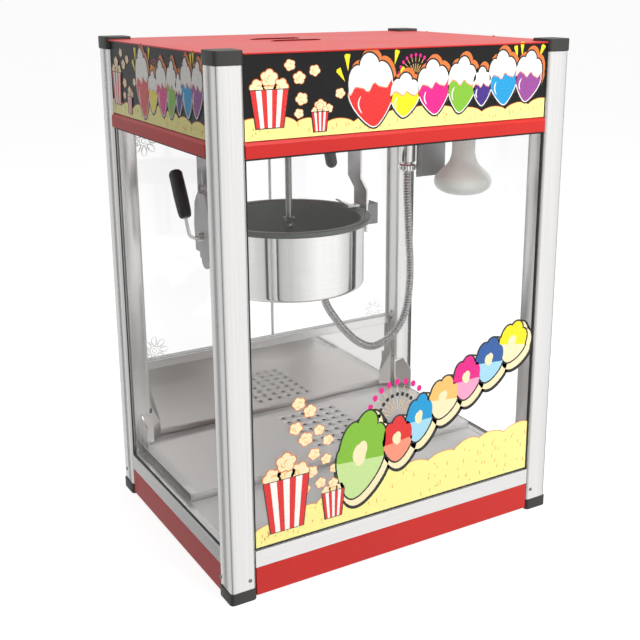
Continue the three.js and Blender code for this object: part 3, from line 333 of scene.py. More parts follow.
# %% Paint, plastic and coating
red_paint = worked("red_powder_coat", (0.52, 0.022, 0.018), (0.62, 0.032, 0.026), (0.3, 0.42),
                   (520, 520, 520), 0.00006, 7.0, Coat_Weight=0.06, Coat_Roughness=0.2,
                   Specular_IOR_Level=0.25)
black_plastic = worked("black_moulding", grey(0.022, 0.05), grey(0.045, 0.05), (0.42, 0.58),
                       (900, 900, 900), 0.00006, 25.0)
grip_plastic = worked("grip_moulding", grey(0.008, 0.03), grey(0.02, 0.03), (0.28, 0.42),
                      (700, 700, 700), 0.00004, 20.0)
non_stick = worked("non_stick_coating", (0.062, 0.07, 0.056), (0.088, 0.098, 0.08), (0.26, 0.38),
                   (900, 900, 900), 0.00004, 18.0, Metallic=0.3)
switch_red = worked("switch_red", (0.5, 0.015, 0.01), (0.6, 0.03, 0.02), (0.18, 0.3),
                    (300, 300, 300), 0.0, 40.0, Coat_Weight=0.4)
porcelain = worked("porcelain", grey(0.72, 0.04), grey(0.82, 0.04), (0.2, 0.32), (200, 200, 200),
                   0.00003, 30.0, Coat_Weight=0.5)
# The bulb is switched off: its small emission is a painted glow for the brightness its frosted glass
# gathers from the room, and its faint green tint offsets the red light bounced from the tray above.
frosted_painted_glow = worked("frosted_bulb_painted_glow", (0.66, 0.71, 0.66), (0.72, 0.77, 0.72), (0.24, 0.34),
                 (500, 500, 500), 0.00003, 20.0, Coat_Weight=0.5, Coat_Roughness=0.15,
                 Emission_Color=(1.0, 1.0, 0.96, 1.0), Emission_Strength=0.16)
rubber = worked("seal_rubber", grey(0.01), grey(0.02), (0.5, 0.7), (800, 800, 800), 0.00005)
print("paints and mouldings:", len(bpy.data.materials) - METALS)

# %% [markdown]
# ## Glass
# A pane is nearly invisible: only its faint reflections and its seals show it. Thin flat glass
# hardly bends what is behind it, so the pane isn't refracting. It is a mirror of a few per cent:
# the rest of it lets light and sight straight through, so lamps still reach the kettle.

# %% Glass that lets lamps through
def pane_glass(name, tint, smear, strength):
    """A mirror whose Alpha is strength, and whose roughness runs over smear by a slow noise, as
    on wiped glass."""
    return worked(name, tint, tint, smear, (5, 5, 5), 0.0, 3.0, Metallic=1.0, Alpha=strength)


cabinet_glass = pane_glass("cabinet_glass", (0.92, 0.95, 0.93), (0.01, 0.05), 0.03)
door_glass = pane_glass("door_acrylic", (0.95, 0.95, 0.93), (0.02, 0.06), 0.04)
print("glass: 2")

# %% [markdown]
# ## Rounded edges
# No folded sheet or moulding has a razor edge, and it is the thin bright line on a rounded edge that
# makes it look real. Flat and boxy pieces keep the shape that the design gives them: a copy of each
# is merged, its flat faces are joined, and a small bevel runs along every sharp edge.

# %% From a designed piece to a finished one
BODY_OF = {node: body for body, nodes in frame["record"]["behaviour"]["bodies"].items()
           for node in nodes}


def fitted(piece, node, material):
    """Gives a piece its finish and lets it move with a node's body."""
    piece.data.materials.clear()
    piece.data.materials.append(material)
    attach(piece, BODY_OF[node])
    return piece


def stand_for(piece, node, material):
    """The piece is fitted, and takes the node's place."""
    fitted(piece, node, material)
    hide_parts(node)
    return piece


WELD = 2e-6  # points closer than this are one
FLAT = 0.5  # degrees: faces that differ by less are one face
BEVEL_STEPS = 2


def softened(node, material, edge=0.5, sharp=30):
    """A merged copy of a node with its flat faces joined and its edges rounded by edge mm."""
    mesh = frame["nodes"][node].data.copy()
    work = bmesh.new()
    work.from_mesh(mesh)
    bmesh.ops.remove_doubles(work, verts=work.verts, dist=WELD)
    bmesh.ops.dissolve_limit(work, angle_limit=math.radians(FLAT), verts=work.verts,
                             edges=work.edges)
    work.to_mesh(mesh)
    work.free()
    mesh.name = node + ".finished"
    mesh.polygons.foreach_set("use_smooth", np.ones(len(mesh.polygons), bool))
    mesh.set_sharp_from_angle(angle=math.radians(sharp))
    piece = bpy.data.objects.new(node + ".finished", mesh)
    bpy.context.scene.collection.objects.link(piece)
    if edge:
        bevel = piece.modifiers.new("edges", "BEVEL")
        bevel.width = edge * MM
        bevel.segments = BEVEL_STEPS
        bevel.limit_method = "ANGLE"
        bevel.angle_limit = math.radians(sharp)
        bevel.use_clamp_overlap = True
        bevel.harden_normals = True
    return stand_for(piece, node, material)


# %% Cabinet
CORNERS = ("front_left", "front_right", "rear_left", "rear_right")
SOFT = 40  # bends up to this many degrees stay smooth
CABINET = (  # finish, bevel in mm, smooth up to, nodes
    (anodised_z, 0.3, SOFT, ["post_" + corner for corner in CORNERS]),
    (black_plastic, 1.0, SOFT, [part + corner for corner in CORNERS for part in ("cap_", "foot_")]),
    (anodised_x, 0.5, 30, ("rail_front", "rail_rear", "door_sill")),
    (anodised_y, 0.5, 30, ("rail_left", "rail_right")),
    (red_paint, 0.5, 30, ("base_box", "header_tray", "top_panel", "rear_panel")),
    (brushed, 0.4, 30, ("door_pull_left", "door_pull_right")),
    (drawer_painted_shade, 0.4, 30, ("crumb_drawer",)),
    (bright_sheet, 0.4, 2, ("rear_guard",)),
    (switch_red, 0.5, 30, ("rocker_1", "rocker_2", "rocker_3")),
)
for material, edge, sharp, nodes in CABINET:
    for node in nodes:
        softened(node, material, edge, sharp)
print("cabinet pieces:", sum(len(nodes) for *_, nodes in CABINET))

# %% Straps, castings and the lever
FITTINGS = (  # finish, bevel in mm, nodes
    (strap_steel, 0.4, ("hanger_left", "hanger_right")),
    (strap_steel, 0.3, ("rim_lug", "lift_carrier", "pivot_pin_right")),
    (strap_steel, 0.0, ("pivot_pin_left",)),
    (strap_steel, 0.6, ("kettle_gland",)),
    (shaft_steel, 0.2, ("drive_shaft",)),
    (shaft_steel, 0.0, ("agitator",)),
    (cast_metal, 0.5, ("pivot_block", "drive_motor", "kettle_heater")),
    (grip_plastic, 0.3, ("lift_lever",)),
    (porcelain, 0.5, ("lamp_holder",)),
)
for material, edge, nodes in FITTINGS:
    for node in nodes:
        softened(node, material, edge, SOFT)
softened("lamp_shield", sheet_grey, 0.3)
print("fittings:", 1 + sum(len(nodes) for *_, nodes in FITTINGS))

# %% Pieces whose design is already right
def dressed(node, material):
    """A node that stays as it is and only gets its finish."""
    mesh = frame["nodes"][node].data
    mesh.materials.clear()
    mesh.materials.append(material)


for node in ("glass_front", "glass_left", "glass_right"):
    dressed(node, cabinet_glass)
for node in ("door_left", "door_right"):
    dressed(node, door_glass)
dressed("base_pan", brushed)
print("panes dressed")

# %% [markdown]
# ## The kettle
# The kettle is a spun steel shell round a coated cooking pan. Both are turned shapes, so each is one
# profile of radius and height spun about the kettle's own axis. The shell is polished to a mirror;
# the pan and its rolled rim carry a dark non-stick coating.

# %% Kettle shell and pan
shell_low, shell_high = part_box("kettle_shell")
bowl_low, bowl_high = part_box("kettle_bowl")
KETTLE = ((shell_low.x + shell_high.x) / 2, (shell_low.y + shell_high.y) / 2)
SHELL_RADIUS = (shell_high.x - shell_low.x) / 2
RIM_RADIUS = (bowl_high.x - bowl_low.x) / 2
SHELL_WALL = 1.5 * MM
shell_top, shell_foot = shell_high.z, shell_low.z
shell_profile = rounded([
    (0, shell_foot + 1.2 * MM), (SHELL_RADIUS * 0.5, shell_foot + 0.6 * MM),
    (SHELL_RADIUS - 14 * MM, shell_foot), (SHELL_RADIUS, shell_foot + 1 * MM),
    (SHELL_RADIUS, shell_top), (SHELL_RADIUS - SHELL_WALL, shell_top),
    (SHELL_RADIUS - SHELL_WALL, shell_foot + 3 * MM), (0, shell_foot + 3 * MM),
], 9 * MM, 8)
kettle_shell = turned("kettle_shell_spun", shell_profile, KETTLE, 160)
stand_for(kettle_shell, "kettle_shell", polished)

RIM_THICKNESS = 8 * MM
BOWL_RADIUS = 105 * MM
BOWL_FLOOR = 425 * MM
BOWL_WALL = 2.5 * MM
rim_top, rim_under = bowl_high.z, bowl_high.z - RIM_THICKNESS
bowl_profile = rounded([
    (0, bowl_low.z), (BOWL_RADIUS + BOWL_WALL, bowl_low.z), (BOWL_RADIUS + BOWL_WALL, rim_under),
    (RIM_RADIUS, rim_under), (RIM_RADIUS, rim_top - 0.6 * MM), (RIM_RADIUS - 3 * MM, rim_top),
    (BOWL_RADIUS + 5 * MM, rim_top), (BOWL_RADIUS + 4 * MM, rim_top - 2.2 * MM),
    (BOWL_RADIUS, rim_top - 3.4 * MM), (BOWL_RADIUS, BOWL_FLOOR), (0, BOWL_FLOOR),
], 7 * MM, 6)
bowl_profile[:, 0] = np.minimum(bowl_profile[:, 0], RIM_RADIUS)
kettle_bowl = turned("cooking_pan", bowl_profile, KETTLE, 160)
stand_for(kettle_bowl, "kettle_bowl", non_stick)
print("kettle radius:", round(SHELL_RADIUS, 4), "rim:", round(RIM_RADIUS, 4))

# %% [markdown]
# ## The handle
# The operator tips the kettle by a black grip on a bent rod. The grip is turned about its own axis, with
# a domed end, and then laid along the rod.

# %% Handle grip
grip_low, grip_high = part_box("handle_grip")
GRIP_RADIUS, GRIP_LENGTH = 10 * MM, 70 * MM
grip_direction = Vector((0, 0.47, 0.883)).normalized()
grip_profile = rounded([
    (0, 0), (GRIP_RADIUS * 0.8, 0), (GRIP_RADIUS * 0.94, 8 * MM), (GRIP_RADIUS, 30 * MM),
    (GRIP_RADIUS * 0.96, GRIP_LENGTH - 4 * MM), (GRIP_RADIUS * 0.6, GRIP_LENGTH), (0, GRIP_LENGTH),
], 5 * MM, 8)
handle = turned("tipping_grip", grip_profile, (0, 0), 48)
handle.data.transform(Vector((0, 0, 1)).rotation_difference(grip_direction).to_matrix().to_4x4())
grip_middle = (grip_low + grip_high) / 2
handle.data.transform(Matrix.Translation(grip_middle - grip_direction * GRIP_LENGTH / 2))
stand_for(handle, "handle_grip", grip_plastic)

# %% [markdown]
# ## The warming lamp
# A reflector bulb hangs from the ceiling: a metallised cone above, a frosted face below. One turned
# profile gives the glass, from the face's shallow dome over the widest point and up the neck.

# %% Lamp bulb
lamp_low, lamp_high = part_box("lamp_bulb")
LAMP = ((lamp_low.x + lamp_high.x) / 2, (lamp_low.y + lamp_high.y) / 2)
BULB_OUTLINE = ((0, 0), (20, 1), (34, 5), (43.4, 12), (46.4, 20.5), (44, 29.5), (36, 38), (27, 46),
                (21.5, 54), (18.3, 66), (18.3, 140), (13, 146), (13, 170), (0, 170))
bulb_points = np.array(BULB_OUTLINE, float) * MM + [0, lamp_low.z]
bulb = turned("reflector_bulb", rounded(bulb_points, 9 * MM, 6), LAMP, 96)
stand_for(bulb, "lamp_bulb", frosted_painted_glow)

# %% [markdown]
# ## The conduit's socket
# A polished cup with a knurled ring nut below it. The knurl is a ripple on the radius: a cosine of
# the turn, only at the heights of the nut.

# %% Conduit socket
socket_low, socket_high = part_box("conduit_socket")
SOCKET = ((socket_low.x + socket_high.x) / 2, (socket_low.y + socket_high.y) / 2)
NUT_HEIGHT = 12 * MM
KNURLS = 24


def knurl(turn, height):
    """1 everywhere but on the nut, where the radius waves in and out KNURLS times."""
    on_nut = (height > socket_low.z + 2 * MM) & (height < socket_low.z + NUT_HEIGHT - 1 * MM)
    return np.where(on_nut, 0.975 + 0.02 * np.cos(KNURLS * turn), 0.97)


z = socket_low.z
socket_profile = rounded([
    (0, z), (12 * MM, z), (14.4 * MM, z + 2.5 * MM), (14.6 * MM, z + 9.5 * MM),
    (12.5 * MM, z + NUT_HEIGHT), (10 * MM, z + NUT_HEIGHT), (10 * MM, z + 14 * MM),
    (14 * MM, z + 15 * MM), (14 * MM, socket_high.z), (0, socket_high.z),
], 1.2 * MM, 4)
socket = turned("ceiling_socket", socket_profile, SOCKET, 96, knurl)
stand_for(socket, "conduit_socket", polished)
print("turned pieces done")

# %% [markdown]
# ## Printed signs
# The header signs and the front glass carry a bright print: a heap of popcorn along the bottom,
# a striped tub, popped kernels with coloured feet, and a small firework. The print could be an image,
# but an image blurs when it is looked at closely. Here each patch of ink is a flat shape with a
# formula for its outline, laid a hair's breadth above the ink under it, and it carries its colour.

# %% Outlines of ink, in millimetres on the panel
def oval(width, height, lobes=0, depth=0.0, turn=0.0, count=48):
    """Points round an oval. With lobes, the radius dips by depth between them: 1 less depth times
    the share by which the sine of half the lobes times the turn is short of 1."""
    t = np.linspace(0, 2 * np.pi, count, endpoint=False)
    swell = 1 - depth * (1 - np.abs(np.sin(lobes * t / 2 + turn)) ** 0.8) if lobes else 1 + 0 * t
    return np.stack([width / 2 * swell * np.cos(t), height / 2 * swell * np.sin(t)], 1)


def kernel(width, height, lobes=3, taper=0.42, count=72):
    """A popped kernel: an oval whose upper half swells into lobes, by the sine of lobes times the
    turn, and whose lower half narrows to a blunt foot, by a power of the depth below the middle."""
    t = np.linspace(0, 2 * np.pi, count, endpoint=False)
    up, down = np.clip(np.sin(t), 0, 1) ** 0.4, np.clip(-np.sin(t), 0, 1)
    swell = 1 - 0.2 * up * (1 - np.abs(np.sin(lobes * t)) ** 0.7)
    return np.stack([width / 2 * swell * np.cos(t) * (1 - taper * down**1.6),
                     height / 2 * swell * np.sin(t)], 1)


def grown(outline, by):
    """The outline moved outwards: each point goes by mm square to the line between its
    neighbours."""
    edge = np.roll(outline, -1, axis=0) - np.roll(outline, 1, axis=0)
    out = np.stack([edge[:, 1], -edge[:, 0]], 1) / np.linalg.norm(edge, axis=1)[:, None]
    return outline + by * out


def above(outline, line):
    """The part of an outline above a line, which is a height for each place across."""
    high = outline[:, 1] > line(outline[:, 0])
    start = np.flatnonzero(high & ~np.roll(high, 1))[0]
    run = np.roll(outline, -start, axis=0)[: high.sum()]
    back_again = np.linspace(run[-1, 0], run[0, 0], 16)
    return np.vstack([run, np.stack([back_again, line(back_again)], 1)])


def laid(outline, place, lean=0.0):
    """The outline leaned by degrees about its middle and moved to its place."""
    a = math.radians(lean)
    turn = np.array([[math.cos(a), math.sin(a)], [-math.sin(a), math.cos(a)]])
    return outline @ turn + place


def stroke(points, width):
    """A brush stroke: both sides of a line, half the width apart from it and thinner at its ends."""
    p = np.asarray(points, float)
    along = np.gradient(p, axis=0)
    out = np.stack([-along[:, 1], along[:, 0]], 1) / np.linalg.norm(along, axis=1)[:, None]
    thick = width / 2 * np.sqrt(np.clip(1 - np.linspace(-0.96, 0.96, len(p)) ** 2, 0, 1))[:, None]
    return np.vstack([p - out * thick, (p + out * thick)[::-1]])


# %% Inks
def ink_shade(red, green, blue):
    """A printer's shade from 0 to 255 as the linear light that a shader works in."""
    return tuple(((np.array([red, green, blue]) / 255 + 0.055) / 1.055) ** 2.4)


BLACK, WHITE = ink_shade(14, 13, 13), ink_shade(252, 250, 244)
CREAM, PALE_YELLOW = ink_shade(253, 236, 190), ink_shade(253, 244, 150)
ORANGE, AMBER = ink_shade(226, 120, 50), ink_shade(250, 196, 110)
RED, PALE_RED = ink_shade(226, 40, 38), ink_shade(248, 150, 120)
YELLOW, MAGENTA = ink_shade(255, 232, 20), ink_shade(232, 16, 135)
PINK, GREEN = ink_shade(250, 165, 200), ink_shade(130, 190, 45)
PALE_GREEN, PURPLE = ink_shade(200, 228, 150), ink_shade(62, 28, 130)
BLUE, PALE_BLUE = ink_shade(10, 155, 212), ink_shade(165, 218, 238)
VIOLET, NAVY = ink_shade(150, 70, 148), ink_shade(40, 90, 160)
INK_LAYER = 0.05


def new_sheet():
    return {"points": [], "faces": [], "shades": []}


def ink(sheet, outline, shade, layer):
    """Adds one flat shape to a sheet, turned so that it faces the reader."""
    x, y = outline[:, 0], outline[:, 1]
    if (x * np.roll(y, -1) - y * np.roll(x, -1)).sum() < 0:
        outline = outline[::-1]
    first = sum(len(p) for p in sheet["points"])
    sheet["points"].append(np.column_stack([outline, np.full(len(outline), layer * INK_LAYER)]))
    sheet["faces"].append(list(range(first, first + len(outline))))
    sheet["shades"].append(np.tile([*shade, 1.0], (len(outline), 1)))


BACKED_AREA = 12.0  # square millimetres
BACK_STEP = 0.003


def backed(sheet):
    """Adds the film's white back: each dark outline once more, facing away, each a hair deeper than
    the last, because faces in one plane would shade each other."""
    first = sum(len(p) for p in sheet["points"])
    depth = BACK_STEP
    for points, shades in list(zip(sheet["points"], sheet["shades"])):
        x, y = points[:, 0], points[:, 1]
        area = (x * np.roll(y, -1) - y * np.roll(x, -1)).sum() / 2
        if area < BACKED_AREA or tuple(shades[0, :3]) not in (BLACK, ORANGE, MAGENTA):
            continue
        depth += BACK_STEP
        sheet["points"].append(points[::-1] * [1, 1, 0] - [0, 0, depth])
        sheet["faces"].append(list(range(first, first + len(points))))
        sheet["shades"].append(np.tile([*WHITE, 1.0], (len(points), 1)))
        first += len(points)


def print_piece(name, sheet, origin, across, material, body="root"):
    """The sheet's shapes on a panel: its two axes run across and up from the origin, and the layers
    stand out towards the reader. Each point keeps its ink in the attribute called ink."""
    across, up = np.array(across, float), np.array([0.0, 0.0, 1.0])
    flat = np.vstack(sheet["points"]) * MM
    out = np.cross(across, up)
    points = np.array(origin) + flat[:, :1] * across + flat[:, 1:2] * up + flat[:, 2:] * out
    mesh = bpy.data.meshes.new(name)
    mesh.from_pydata(points.tolist(), [], sheet["faces"])
    shades = mesh.color_attributes.new("ink", "FLOAT_COLOR", "POINT")
    shades.data.foreach_set("color", np.vstack(sheet["shades"]).ravel())
    mesh.materials.append(material)
    piece = bpy.data.objects.new(name, mesh)
    bpy.context.scene.collection.objects.link(piece)
    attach(piece, body)
    return piece


# %% Ink finish
# The shade comes from the mesh. A fine noise breaks the gloss up, as the film's surface does.
ink_film = worked("ink_film", grey(0.5), grey(0.5), (0.22, 0.34), (400, 400, 400), 0.0, 20.0,
                  Coat_Weight=0.15)
film = ink_film.node_tree
film_shade = add_node(film, "Attribute", attribute_name="ink")
film_place = add_node(film, "TexCoord")
film_noise = add_node(film, "TexNoise", {"Vector": film_place.outputs["Object"], "Scale": 300})
film_tone = add_node(film, "MixRGB", {"Fac": 0.08, "Color1": film_shade.outputs["Color"],
                                      "Color2": film_noise.outputs["Fac"]}, blend_type="MULTIPLY")
film.links.new(film_tone.outputs["Color"], film.nodes["Principled BSDF"].inputs["Base Color"])
sign_black = worked("sign_black", grey(0.004), grey(0.008), (0.3, 0.4), (300, 300, 300), 0.0, 30.0,
                    Specular_IOR_Level=0.25)
print("inks ready")

# %% Motifs
def draw_popcorn(sheet, place, size, layer, turn=0.0):
    """A popped piece: a lobed oval with an orange edge and two small curls inside."""
    body = oval(size, size * 0.9, 5, 0.26, turn)
    ink(sheet, laid(grown(body, size * 0.055), place), ORANGE, layer)
    ink(sheet, laid(body, place), CREAM, layer + 1)
    t = np.linspace(0.4, 2.6, 9)
    for side in (-1, 1):
        curl = np.stack([np.cos(t + turn), np.sin(t + turn) * side], 1) * size * 0.17
        ink(sheet, stroke(curl + place + [side * size * 0.08, -size * 0.05], size * 0.075), AMBER,
            layer + 2)


HEAP_POINTS, HEAP_SEED = 260, 7


def draw_heap(sheet, left, right, floor, top, scallop, layer, marks):
    """A heap between left and right: its upper edge is top(x) plus the height of round scallops,
    the absolute value of a sine. Short orange strokes mark the pieces in it."""
    x = np.linspace(right, left, HEAP_POINTS)
    edge = top(x) + scallop * np.abs(np.sin(x / scallop / 1.9)) ** 0.6
    shape = np.vstack([[left, floor], [right, floor], np.stack([x, edge], 1)])
    ink(sheet, shape, ORANGE, layer)
    inside = np.vstack([[left, floor], [right, floor], np.stack([x, edge - 1.0], 1)])
    ink(sheet, inside, PALE_YELLOW, layer + 1)
    draw = np.random.default_rng(HEAP_SEED)
    for _ in range(marks):
        at = left + 4 + (right - left - 8) * draw.random()
        room = max(float(top(np.array(at))) - floor - 6, 2.0)
        start = np.array([at, floor + 2 + room * draw.random()])
        bend = draw.uniform(-1, 1)
        t = np.linspace(0, 1, 7)
        length = draw.uniform(0.3, 1.0) * scallop
        line = start + np.stack([bend * np.sin(t * 3) * 1.6, t * length], 1)
        ink(sheet, stroke(line, 1.0), ORANGE, layer + 2)


def draw_tub(sheet, place, width, height, layer):
    """A striped tub, wider at its mouth, with popcorn piled on it."""
    for i in range(3):
        draw_popcorn(sheet, place + np.array([(i - 1) * width * 0.3, height * 0.58]), width * 0.42,
                     layer, i)
    draw_popcorn(sheet, place + np.array([0, height * 0.82]), width * 0.44, layer + 3, 1)
    corner = np.array([[-0.36, -0.5], [0.36, -0.5], [0.5, 0.5], [-0.5, 0.5]]) * [width, height]
    ink(sheet, grown(corner, 1.6) + place, BLACK, layer + 6)
    ink(sheet, corner + place, WHITE, layer + 7)
    for i in range(4):
        low = np.array([-0.36, -0.257]) + i * 0.72 * 2 / 7
        high = np.array([-0.5, -0.357]) + i * 2 / 7
        stripe = np.array([[low[0], -0.5], [low[1], -0.5], [high[1], 0.5], [high[0], 0.5]])
        ink(sheet, stripe * [width, height] + place, RED, layer + 8)


def draw_spark(sheet, place, length, lean, layer):
    """A thin yellow flash."""
    flash = np.array([[0, -0.5], [0.28, 0.42], [0, 0.5], [-0.12, 0.4]]) * length
    ink(sheet, laid(flash, place, lean), YELLOW, layer)


def draw_firework(sheet, place, radius, layer, dot):
    """Rays over a half turn, each with a dot in the middle and a dot at its end."""
    for angle in np.radians(np.linspace(8, 172, 11)):
        ray = np.array([math.cos(angle), math.sin(angle)])
        line = place + np.linspace(0.15, 1, 6)[:, None] * ray * radius
        ink(sheet, stroke(line, 0.9), AMBER, layer)
        ink(sheet, oval(dot * 0.7, dot * 0.8, count=16) + place + ray * radius * 0.62, BLACK,
            layer + 1)
        ink(sheet, oval(dot, dot * 1.2, count=20) + place + ray * radius, MAGENTA, layer + 1)


def draw_sweet(sheet, place, size, shade, lean, layer, lobes=3):
    """A kernel with a coloured foot under a white puffed top, a black line round it and an orange
    shadow behind it."""
    body = kernel(*size, lobes)
    width, drop = size
    ink(sheet, laid(grown(body, 2.0), place + np.array([3.5, 5.0]), lean), ORANGE, layer)
    ink(sheet, laid(grown(body, 2.2), place, lean), BLACK, layer + 1)
    ink(sheet, laid(body, place, lean), WHITE, layer + 2)
    ink(sheet, laid(grown(body, -1.4), place, lean), shade, layer + 3)

    def wave(x):
        """The melting edge of the top: two sines of different lengths."""
        return drop * (0.05 + 0.045 * np.sin(x * 17 / width) + 0.02 * np.sin(x * 31 / width))

    inside = grown(body, -0.4)
    ink(sheet, laid(above(inside, lambda x: wave(x) - 1.6), place, lean), PALE_RED, layer + 4)
    ink(sheet, laid(above(inside, wave), place, lean), WHITE, layer + 5)
    shine = stroke(np.stack([-width * 0.3 + 0.06 * width * np.linspace(-1, 1, 9) ** 2,
                             np.linspace(-drop * 0.28, -drop * 0.05, 9)], 1), 2.0)
    ink(sheet, laid(shine, place, lean), WHITE, layer + 4)


print("motifs ready")

# %% Header print
HEADER_SWEETS = (  # across and up from the sign's middle, width, height, shade, lean
    (-57, 1, 72, 96, RED, 6), (-5, -8, 48, 58, YELLOW, -4), (42, 0, 54, 74, MAGENTA, 5),
    (89, 1, 50, 76, GREEN, -6), (124, -3, 34, 54, PURPLE, 0), (161, 7, 52, 76, BLUE, 4),
    (207, 7, 50, 72, VIOLET, -8),
)
HEADER_BITS = ((-176, 38, 15), (-163, 22, 17), (-141, 30, 15), (-160, -4, 17), (-133, -14, 17),
               (-104, 0, 14), (-164, -22, 13), (-121, -18, 12))
HEADER_FLASHES = ((-103, 22, 20, 38), (-94, 38, 22, 8), (-20, 42, 20, -8), (-12, 22, 18, -32),
                  (183, 42, 18, 18), (193, 46, 20, 4), (229, 42, 20, -20), (228, 20, 16, -44))
sign_low, sign_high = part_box("sign_front")
SIGN_HALF = (sign_high.x - sign_low.x) / 2 / MM
SIGN_HEIGHT = (sign_high.z - sign_low.z) / MM


def header_print(name, node, across, origin):
    """The header print on one sign. Its motifs keep their height and are narrowed to the sign."""
    low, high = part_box(node)
    half = max(high.x - low.x, high.y - low.y) / 2 / MM
    fit = half / SIGN_HALF
    sheet = new_sheet()
    floor = -SIGN_HEIGHT / 2 + 0.4
    draw_heap(sheet, -half + 0.4, half - 0.4, floor, lambda x: -34 + 4 * np.sin(x / 37 + 1), 7, 1, 46)
    draw_firework(sheet, np.array([12 * fit, 18]), 26 * fit, 4, 4 * fit)
    for x, y, length, lean in HEADER_FLASHES:
        draw_spark(sheet, np.array([x * fit, y]), length, lean, 5)
    for i, (x, y, size) in enumerate(HEADER_BITS):
        draw_popcorn(sheet, np.array([x * fit, y]), size * (0.5 + fit / 2), 4, i)
    for x, y, width, height, shade, lean in HEADER_SWEETS:
        draw_sweet(sheet, np.array([x * fit, y]), (width * fit, height), shade, lean, 7)
    draw_tub(sheet, np.array([-205 * fit, -14]), 52 * fit, 46, 7)
    draw_tub(sheet, np.array([-134 * fit, -34]), 24 * fit, 24, 7)
    print_piece(name, sheet, origin, across, ink_film)
    dressed(node, sign_black)


sign_middle = (sign_low.z + sign_high.z) / 2
FILM = 0.1 * MM
SIGNS = (  # side, the film's place from above, the sign's level axis
    ("front", (0, sign_low.y - FILM), (1, 0, 0)),
    ("left", (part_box("sign_left")[0].x - FILM, 0), (0, -1, 0)),
    ("right", (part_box("sign_right")[1].x + FILM, 0), (0, 1, 0)),
)
for side, place, across in SIGNS:
    header_print("header_print_" + side, "sign_" + side, across, (*place, sign_middle))
print("header prints:", len(SIGNS))

# %% Front glass print
GLASS_SWEETS = (  # across and up on the glass, width, height, upper shade, lower shade, lean
    (-70, 172, 80, 132, GREEN, PALE_GREEN, -14), (-8, 182, 52, 70, RED, PALE_RED, -4),
    (30, 206, 46, 74, BLUE, PALE_BLUE, -10), (73, 229, 52, 66, AMBER, CREAM, -16),
    (115, 251, 50, 68, MAGENTA, PINK, -8), (157, 271, 52, 70, NAVY, PALE_BLUE, -14),
    (201, 292, 52, 66, YELLOW, CREAM, -20),
)
GLASS_BITS = ((-169, 271, 20), (-152, 257, 20), (-174, 236, 20), (-159, 217, 22), (-138, 226, 17),
              (-124, 208, 17), (-146, 192, 19), (-127, 180, 17), (-114, 163, 15), (-150, 166, 19),
              (-136, 146, 17), (-160, 143, 15))
glass_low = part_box("glass_front")[0]
poster = new_sheet()
poster_floor = glass_low.z / MM + 3


def poster_top(x):
    """The heap's upper edge: low on the left, and rising to the right by a smooth step."""
    rise = 1 / (1 + np.exp(-(x - 120) / 22))
    return 98 + 34 * np.clip((x + 200) / 110, 0, 1) + 20 * rise - 6 * np.cos(x / 30) * rise


draw_heap(poster, -239.5, 239.5, poster_floor, poster_top, 8, 1, 90)
draw_firework(poster, np.array([-9, 220]), 50, 4, 8)
for i, (x, y, size) in enumerate(GLASS_BITS):
    draw_popcorn(poster, np.array([x, y]), size, 4, i)
for x, y, width, height, upper, lower, lean in GLASS_SWEETS:
    fall = np.array([5.0, -8.0])
    ink(poster, laid(grown(kernel(width, height, 3, 0.3), 9.5), (x, y) + fall, lean), BLACK, 4)
for x, y, width, height, upper, lower, lean in GLASS_SWEETS:
    fall = np.array([4.0, -6.5])
    ink(poster, laid(grown(kernel(width, height, 3, 0.3), 5.8), (x, y) + fall, lean), CREAM, 5)
for x, y, width, height, upper, lower, lean in GLASS_SWEETS:
    body = kernel(width, height, 3, 0.3)
    ink(poster, laid(grown(body, 2.6), (x, y), lean), BLACK, 7)
    ink(poster, laid(body, (x, y), lean), lower, 8)
    ink(poster, laid(above(body, lambda u: 0.18 * u - 0.06 * height), (x, y), lean), upper, 9)
    shine = oval(width * 0.3, height * 0.3, 3, 0.2)
    ink(poster, laid(shine, (x - width * 0.02, y + height * 0.02), lean), CREAM, 10)
draw_tub(poster, np.array([-190, 128]), 70, 76, 7)
draw_tub(poster, np.array([-116, 108]), 36, 40, 7)
backed(poster)
print_piece("glass_print", poster, (0, glass_low.y - 4 * FILM, 0), (1, 0, 0), ink_film)
print("front glass print:", len(poster["faces"]), "shapes")

# %% [markdown]
# ## Seals, etching and small hardware
# Black seals hold each pane in its frame. They are one moulded strip with mitred corners, so the
# section is carried round a rectangle: at each corner it is inset along both sides at once.

# %% Pane seals
def mitred(name, middle, half_across, half_up, across, section, material, node):
    """A section of (inset, height) points carried round a rectangle. across is the panel's level
    axis, and heights stand out of it towards the reader."""
    across, up = np.array(across, float), np.array([0.0, 0.0, 1.0])
    out = np.cross(across, up)
    inset, height = np.array(section, float).T * MM
    signs = np.array([(-1, -1), (1, -1), (1, 1), (-1, 1)], float)
    along = signs[:, :1] * (half_across - inset)
    rise = signs[:, 1:] * (half_up - inset)
    points = (np.array(middle) + along[..., None] * across + rise[..., None] * up
              + height[None, :, None] * out)
    piece = make_mesh(name, points, grid_faces(4, len(section), True, True))
    fitted(piece, node, material)


PANE_HALF = 2.0 * MM
SEAL_SECTION = [(0, 0.05), (2.4, 0.05), (2.4, 0.7), (1.9, 1.1), (0.4, 1.1), (0, 0.9)]
post_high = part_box("post_front_left")[1]
OPENING_X = -post_high.x - 0.1 * MM
OPENING_Y = -post_high.y - 0.1 * MM
for node, across in (("glass_front", (1, 0, 0)), ("glass_left", (0, -1, 0)), ("glass_right", (0, 1, 0))):
    low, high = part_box(node)
    face = np.array((low + high) / 2) + np.cross(across, (0, 0, 1)) * PANE_HALF
    half = OPENING_X if node == "glass_front" else OPENING_Y
    half_up = (high.z - low.z) / 2 - 0.2 * MM
    mitred("seal_" + node, face, half, half_up, across, SEAL_SECTION, rubber, node)
print("seals on 3 panes")

